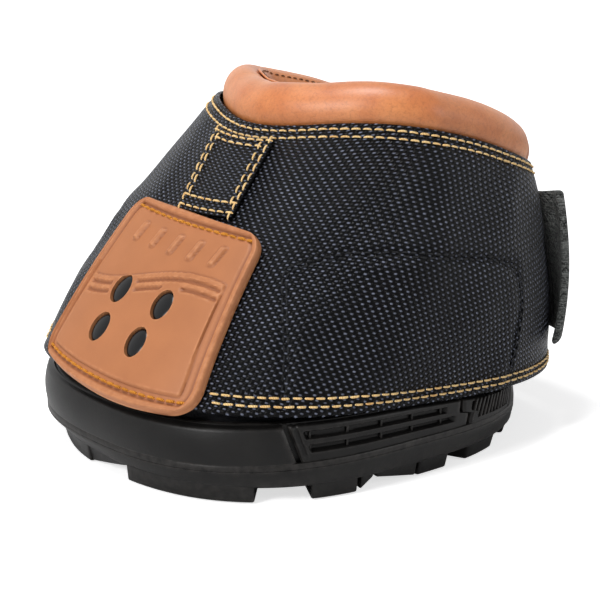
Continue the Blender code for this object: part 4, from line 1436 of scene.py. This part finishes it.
def make_repeat_tree():
    start = new_group("set_out_along_path", "Geometry", ["Geometry"], Geometry="Geometry",
                      Shape="Object", Pitch=4.9 * mm, Waver=0.05, Seed=3, Finish="Material")
    path = put("GeometryNodeMeshToCurve", i0=start["Geometry"])[0]
    places = put("GeometryNodeResampleCurve", {"mode": "LENGTH"}, Curve=path,
                 Length=start["Pitch"])[0]
    turned = put("FunctionNodeAxesToRotation", {"primary_axis": "X", "secondary_axis": "Z"},
                 i0=put("GeometryNodeInputTangent")[0], i1=attribute("out"))[0]
    swing, size = (put("FunctionNodeRandomValue", {"data_type": "FLOAT"}, i2=low, i3=high,
                       Seed=start["Seed"])[1]
                   for low, high in ((start["Waver"] * -1.0, start["Waver"]), (0.94, 1.06)))
    swing = put("FunctionNodeEulerToRotation", Euler=put("ShaderNodeCombineXYZ", Z=swing)[0])[0]
    whole = put("FunctionNodeRotateRotation", {"rotation_space": "LOCAL"}, i0=turned, i1=swing)[0]
    shape = put("GeometryNodeObjectInfo", i0=start["Shape"])["Geometry"]
    return close_tree(start, put("GeometryNodeInstanceOnPoints", Points=places, Instance=shape,
                                 Rotation=whole, Scale=size)[0])


repeat_tree = make_repeat_tree()


def set_out(name, paths, shape, pitch, finish, waver=0.0, seed=3):
    """One mesh of a shape repeated along several paths. A path holds its places and, for each,
    the way that its surface faces."""
    mesh = bpy.data.meshes.new(name)
    edges, first = [], 0
    for path, out in paths:
        edges += [(first + i, first + i + 1) for i in range(len(path) - 1)]
        first += len(path)
    points, outs = (np.concatenate(values) for values in zip(*paths))
    mesh.from_pydata(points.tolist(), edges, [])
    mesh.attributes.new("out", "FLOAT_VECTOR", "POINT").data.foreach_set("vector", outs.ravel())
    return apply_tree(new_object(name, mesh), repeat_tree, 50, Shape=shape, Pitch=pitch,
                      Waver=waver, Seed=seed, Finish=finish)


def facing(place, u, v, step_u, step_v):
    """The way a surface faces at places of it, from its slopes both ways."""
    across = place(u + step_u, v) - place(u - step_u, v)
    up = place(u, v + step_v) - place(u, v - step_v)
    return unit(np.cross(across, up))


# %% Ticks in the inserts and ribs in the vents
tick_turns, rib_turns = (60.0, 100.92), (111.9, 129.8)
tick_pitch, rib_pitch = 13.0 * mm, 2.35 * mm


def block(name, wide, deep, high, lean=0.0):
    """A small moulded bar, for a tree to repeat; it stands on its origin."""
    levels = [(wide / 2, deep / 2, height) for height in (0, high)]
    return four_sided(name, 0, 0, levels, 0.18 * mm, 1, lean)


def panel_path(sign, ends, count, share, inset):
    """A level line on a panel, and the way that the panel faces there."""
    turns = sign * np.linspace(*ends, count)
    out = facing(lambda u, v: panel_point(u, v, 0.0), turns, share, 0.3, 0.02)
    return panel_point(turns, share, inset), out * sign


for side, sign in boot_sides.items():
    lines = [panel_path(sign, tick_turns, 60, (low + high) / 2, insert_inset + window_deep)
             for low, high in window_rows]
    tick = block("tick", 0.8 * mm, 3.4 * mm, 0.8 * mm)
    carry(set_out("insert_ticks_" + side, lines, tick, tick_pitch, rubber), "boot", "black_rubber")
    line = panel_path(sign, rib_turns, 40, 0.5, vent_inset + vent_deep + 0.1 * mm)
    rib = block("rib", 0.95 * mm, 7.4 * mm, 1.55 * mm, lean=2.4 * mm)
    carry(set_out("vent_ribs_" + side, [line], rib, rib_pitch, rubber), "boot", "black_rubber")
    for shape in (tick, rib):
        bpy.data.objects.remove(shape)

# %% [markdown]
# ## The closure strap
#
# A wide webbing strap is sewn to the outer flap and laps over the inner one, where hooks on its
# back grip a loop patch. Its free end is folded under, so it is twice as thick there. The strap
# is one length.

# %% Strap, hooks and loops
strap_seat = 3.5 * mm
strap_low, strap_high = 0.13, 0.86


def strap_climb(rise):
    """0 at the strap's lower edge, 1 at its upper edge."""
    return (rise - strap_low) / (strap_high - strap_low)


def strap_turn(turn, rise):
    """The strap's free end slants: towards its top, its last columns draw back."""
    share = 0.72 - 0.40 * strap_climb(rise)
    return np.where(turn >= 150.0, turn, 150.0 - (150.0 - turn) * share)


def strap_back(turn, rise):
    """The free end is stiff: its head stands off the leaning wall, its foot lies close to it."""
    return strap_seat + (1 - ramp(turn, 140.0, 149.0)) * (6.4 * mm * strap_climb(rise) - 2.8 * mm)


def strap_face(turn, rise):
    doubled = 1 - ramp(turn, 139.0, 141.0)
    return strap_back(turn, rise) + 2.0 * mm + 1.0 * mm * doubled


strap_tall = float(height_at(170.0, 1.0))
strap_turns, _, strap_scales = wall_marks(132.0, 226.0, strap_low, strap_high, 1.4 * mm, 1.5 * mm,
                                          tall=strap_tall)
strap_rises = spaced(strap_low, strap_high, 1.4 * mm / strap_tall, 1.0 * mm / strap_tall)
strap = sheet("closure_strap_webbing", strap_turns, strap_rises,
              lambda turn, rise, out: wall(strap_turn(turn, rise), rise, out), strap_back,
              strap_face, webbing, strap_scales,
              cloth=lambda turn, rise: on_plan(strap_turn(turn, rise), rise))
dress_up(strap, "black_webbing", "closure_strap", "strap_anchor")
start, end = (tuple(wall(turn, 0.5, strap_seat)) for turn in (206.6, 203.0))
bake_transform(strap)
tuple(start)
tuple(end)


def patch(name, first, last, inner, outer, finish, node, body_name):
    """A patch of hooks or loops between two turns."""
    turns, rises, scales = wall_marks(first, last, 0.18, 0.80, 1.5 * mm, (outer - inner) / 2,
                                      tall=strap_tall)
    made = sheet(name, turns, rises, wall, inner, outer, finish, scales)
    carry(made, body_name, "hook_and_loop", node)


loop_top = gap + 0.8 * mm
patch("loop_field", 147.0, inner_end, gap, loop_top, loop_nap, "loop_patch", "inner_flap")
patch("hook_field", 150.0, 156.0, loop_top + gap, strap_seat - gap, hook_nap, "strap_hook_patch",
      "closure_strap")

# %% [markdown]
# Three solids keep their CAD shape, because it is already right and hardly seen: the rand that
# joins base and upper, and the stiffener boards. They get finishes of their own.

# %% Finishes of the solids that stay
plain_cloth = make_padding("rand_cloth", tint(14, 14, 16), tint(40, 41, 45))
for node, finish in (("joining_rand", plain_cloth), ("side_stiffener_right", board),
                     ("side_stiffener_left", board)):
    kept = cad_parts[node]
    kept.data.materials.clear()
    kept.data.materials.append(finish)
    print(node, finish.name)

# %% [markdown]
# ## Stitching
#
# Each stitch is a short, thick thread that dives into the cloth at both ends. Its mesh has a few
# dozen faces, because there are hundreds of them, and the repeating tree sets them out along
# each row, on the relief of the cloth.

# %% One stitch of each thread
threads = {"yellow": (yellow_thread, 3.4 * mm, 0.8 * mm, 4.0 * mm),
           "black": (black_thread, 2.6 * mm, 0.7 * mm, 3.2 * mm),
           "gold": (gold_thread, 3.7 * mm, 1.05 * mm, 3.9 * mm),
           "brown": (brown_thread, 2.0 * mm, 0.6 * mm, 3.1 * mm)}


def make_stitch(name, finish, long, thick):
    """A stitch along X: a flattened tube that bows up and dips at both ends."""
    rings, places = [], []
    for share in (-1.0, -0.8, -0.35, 0.35, 0.8, 1.0):
        middle = thick * (0.42 - 0.75 * share ** 4)
        radius = thick / 2 * math.sqrt(max(0.08, 1 - share ** 6))
        rings.append([(long / 2 * share, radius * math.cos(a), middle + radius * 0.85 * math.sin(a))
                      for a in np.linspace(0, 2 * math.pi, 6, endpoint=False)])
        places.append([(share * long / 2 / (1.6 * mm), a / 6) for a in range(7)])
    return bar(name, rings, finish, places=np.array(places))


stitch_shapes = {kind: make_stitch(kind + "_stitch", finish, long, thick)
                 for kind, (finish, long, thick, pitch) in threads.items()}
stitch_faces = len(stitch_shapes["yellow"].data.polygons)


def stitches(name, paths, kind, body_name, bends=True, waver=0.06, seed=3):
    """Rows of one thread's stitches."""
    finish, pitch = threads[kind][0], threads[kind][-1]
    made = set_out(name, paths, stitch_shapes[kind], pitch, finish, waver, seed)
    print(name, len(made.data.polygons) // stitch_faces, "stitches")
    move_with(made, body_name, bends)


# %% Rows on the cloth


def evenly(place, points, spacing=0.8 * mm):
    """Even places along a path through pairs, measured where place puts them."""
    us, vs = columns_of(points)
    strides = np.linalg.norm(np.diff(place(us, vs), axis=0), axis=1)
    lengths = np.concatenate([[0], np.cumsum(strides)])
    even = np.linspace(0, lengths[-1], max(3, int(lengths[-1] / spacing)))
    return np.interp(even, lengths, us), np.interp(even, lengths, vs)


def cloth_path(points, lift=0.1 * mm):
    """A path through (turn, rise) places on the cloth, with the way the cloth faces."""
    turn, rise = evenly(lambda turns, rises: np.stack(on_plan(turns, rises), -1), points)
    return (wall(turn, rise, lift + cloth_relief(turn, rise)), facing(wall, turn, rise, 0.5, 0.01))


def twin_rows(points):
    """Two rows side by side along the same path."""
    first, out = cloth_path(points, 0.0)
    aside = unit(np.cross(out, unit(np.gradient(first, axis=0)))) * 1.5 * mm / 2
    return [(first + aside, out), (first - aside, out)]


def level_row(rise, first, last, count=60):
    return [(turn, rise) for turn in np.linspace(first, last, count)]


def outer_path(points):
    """A path on the outer flap, which stands off the wall."""
    points = [(float(lapped(turn, rise)), rise) for turn, rise in points]
    path, out = cloth_path(points)
    turns, rises = columns_of(points)
    stand = np.interp(np.linspace(0, 1, len(path)), np.linspace(0, 1, len(turns)),
                      off_wall(turns, rises))
    return path + out * stand[:, None], out


def on_side(points, side):
    """The same path on the right side, 1, or on the left, -1."""
    return [(side * turn, rise) for turn, rise in points]


front_end, flap_start = 117.6, 118.2
front_rows = [cloth_path(level_row(rise, -front_end, front_end)) for rise in top_rows]
front_rows += [cloth_path(on_side(level_row(rise, start, front_end, 40), side))
               for side in (1, -1) for rise, start in zip(hem_rows, (37.0, 38.0))]
stitches("upper_row_stitches", front_rows, "yellow", "boot")
inner_rows = [cloth_path([(turn, rise * float(tongue_top(turn)))
                          for turn in np.linspace(flap_start, 136.5, 12)]) for rise in top_rows]
inner_rows += [cloth_path(level_row(rise, flap_start, inner_end - 1.0)) for rise in hem_rows]
stitches("inner_flap_row_stitches", inner_rows, "yellow", "inner_flap")
edge_row = 161.2
outer_rows = [outer_path(level_row(rise, first, 360 - flap_start))
              for rows, first in ((top_rows, 162.0), (hem_rows, edge_row)) for rise in rows]
outer_rows.append(outer_path([(edge_row, rise) for rise in np.linspace(0.06, 0.84, 60)]))
stitches("outer_flap_row_stitches", outer_rows, "yellow", "outer_flap")

ahead, behind = ([point for point in patch_line if (point[0] > seam_turn) == past]
                 for past in (False, True))
stitches("stiffener_stitches", twin_rows(ahead) + twin_rows(on_side(ahead, -1)), "black", "boot",
         seed=5)
for flap, side in fold_sides.items():
    stitches(flap + "_stiffener_stitches", twin_rows(on_side(behind, side)), "black", flap, seed=5)

# %% Rows on the strap and the shield


def surface_path(place, points, out, step_u, step_v):
    """A path through (u, v) places of a surface, with the way it faces."""
    def here(u, v):
        return place(u, v, out)
    u, v = evenly(here, points)
    return here(u, v), facing(here, u, v, step_u, step_v)


strap_rows = [surface_path(on_strap, ends, gap + 1.5 * mm, 0.02, 0.01) for ends in (
    [(-0.93, 0.02), (-0.92, 0.98)], [(0.93, 0.02), (0.92, 0.98)], [(-0.9, 0.965), (0.9, 0.965)],
    [(-0.78, 0.24), (-0.76, 0.9)], [(0.78, 0.2), (0.72, 0.9)], [(-0.72, 0.89), (0.68, 0.89)],
    [(-0.85, 0.17), (0.85, 0.17)], [(-0.88, 0.05), (0.88, 0.05)])]
stitches("front_strap_stitches", strap_rows, "yellow", "boot", seed=7)

sewn_inset = 4.4 * mm
shield_rows = [surface_path(on_shield, [(across, high) for across in np.linspace(first, 0.9, 30)],
                            plate_top, 0.01, 0.5 * mm)
               for first, high in ((-0.88, shield_tall - sewn_inset), (-0.9, sewn_inset))]
stitches("shield_stitches", shield_rows, "gold", "boot", waver=0.08, seed=9)

# %% [markdown]
# ## Binding inside the collar
#
# A leather facing starts just inside the collar's top, rolls down its inner face and covers the
# line where the collar meets the lining. A row of small brown stitches runs along its top edge.

# %% Binding
binding_top, binding_low = math.radians(124), math.radians(214)
rolled_share = 0.62
binding_foot_rise, binding_foot_out = 0.86, -5.6 * mm
binding_row = 0.075


def on_binding(turn, down, out):
    """A place on the binding: it rolls down the collar's inner face, then runs to the lining."""
    turn, down, out = np.broadcast_arrays(turn, down, out)
    centre, level = collar_centre(turn)
    angle = binding_top + (binding_low - binding_top) * np.minimum(down / rolled_share, 1.0)
    lift = 0.55 * mm + out
    rolled = (centre + level * ((collar_deep / 2 + lift) * np.cos(angle))[..., None]
              + upright * ((collar_high / 2 + lift) * np.sin(angle))[..., None])
    foot = wall(turn, binding_foot_rise, binding_foot_out) - level * (0.4 * mm + out)[..., None]
    share = np.clip((down - rolled_share) / (1 - rolled_share), 0, 1.2)[..., None]
    return rolled + (foot - rolled) * share


def binding(name, first, last, body_name):
    """A length of binding, and its stitches."""
    scale = metres_a_turn(first, last, 0.9)
    turns = spaced(first, last, 2.0 * mm / scale, 0.4 * mm / scale)
    downs = spaced(0.0, 1.1, 0.06, 0.02)
    made = sheet(name, turns, downs, on_binding, 0.0, 0.8 * mm, leather, (scale, 24.0 * mm))
    carry(made, body_name, "tan_leather")
    path, out = surface_path(on_binding, level_row(binding_row, first + 0.6, last - 0.6, 80),
                             0.8 * mm, 0.5, 0.02)
    middle = collar_centre(np.linspace(first + 0.6, last - 0.6, len(path)))[0]
    flip = np.sign(np.sum(out * (path - middle), 1))[:, None]
    stitches(name + "_stitches", [(path, out * flip)], "brown", body_name, bends=False, seed=11)


binding("collar_binding", -123.5, 123.5, "boot")
binding("outer_flap_binding", 187.0, 235.5, "outer_flap")
for shape in stitch_shapes.values():
    bpy.data.objects.remove(shape)

# %% [markdown]
# ## Floor, light and camera
#
# The boot stands on a plain pale floor, which glows a little more the further it lies from the
# boot, so that it stays white up to its edge. Soft lamps light the boot as in a small studio:
# one overhead, one before the toe and a weaker one behind the right side. The world looks white
# to the camera and in reflections. The camera stands where the photograph was taken from.

# %% Floor and background
floor_drop = 0.5 * mm


def make_floor():
    made = new_finish("pale_floor", Roughness=0.8, Specular_IOR_Level=0.1, Emission_Strength=1.0)
    shade = mix(noise(body(), 3.0, 1.0), tint(250, 250, 250), tint(253, 253, 253))
    seen = put("ShaderNodeLightPath")["Is Camera Ray"]
    lift = mix(spread(vector("LENGTH", body()), 0.3, 0.9), grey(0.67), grey(1.0))
    shader = drawn.nodes["Principled BSDF"]
    feed(shader.inputs["Base Color"], shade)
    feed(shader.inputs["Emission Color"], mix(seen, grey(0.0), lift))
    angles = np.linspace(0, 2 * math.pi, 49)
    points = [(radius * math.cos(a), radius * math.sin(a), -floor_drop)
              for a in angles for radius in (0.0, 1.0, 3.0)]
    faces = grid_faces(len(angles), 3)
    mesh = bpy.data.meshes.new("floor")
    mesh.from_pydata(points, [], faces)
    mesh.materials.append(made)
    new_object("floor", mesh)


make_floor()
world = bpy.data.worlds.new("studio")
world.use_nodes = True
bpy.context.scene.world = world
drawn = world.node_tree
seen = put("ShaderNodeLightPath")
direct = calc("MAXIMUM", seen["Is Camera Ray"],
              calc("MAXIMUM", seen["Is Glossy Ray"], seen["Is Transmission Ray"]))
feed(drawn.nodes["Background"].inputs["Color"], mix(direct, (0.17, 0.17, 0.175, 1.0), grey(1.0)))


def aim(made, place, way):
    """Puts a lamp or a camera at a place, facing away from the given way."""
    made.location = place
    made.rotation_mode = "QUATERNION"
    made.rotation_quaternion = way.to_track_quat("Z", "Y")
    return made


for name, place, target_height, size, power in (
        ("overhead", (0.0, -0.25, 1.05), 0.08, 0.32, 7.6),
        ("left", (0.12, -0.95, 0.52), 0.08, 0.28, 5.7),
        ("right", (0.95, 0.55, 0.42), 0.06, 0.35, 2.0)):
    lamp = bpy.data.lights.new(name, "AREA")
    lamp.shape, lamp.size, lamp.size_y, lamp.energy = "RECTANGLE", size, size, power
    aim(new_object(name, lamp), place, Vector(place) - Vector((0, 0, target_height)))

# %% Camera
azimuth, elevation, distance = math.radians(51.5), math.radians(13.361), 0.700387
away = Vector((math.sin(azimuth) * math.cos(elevation), -math.cos(azimuth) * math.cos(elevation),
               math.sin(elevation)))
lens = bpy.data.cameras.new("photo_camera")
lens.sensor_width, lens.lens = 36.0, 114.43
lens.shift_x, lens.shift_y = 0.04357, -0.07272
camera = new_object("photo_camera", lens)
aim(camera, Vector((0.0, 0.0, 0.065)) + away * distance, away)
bpy.context.scene.camera = camera
bpy.context.scene.view_settings.view_transform = "Standard"
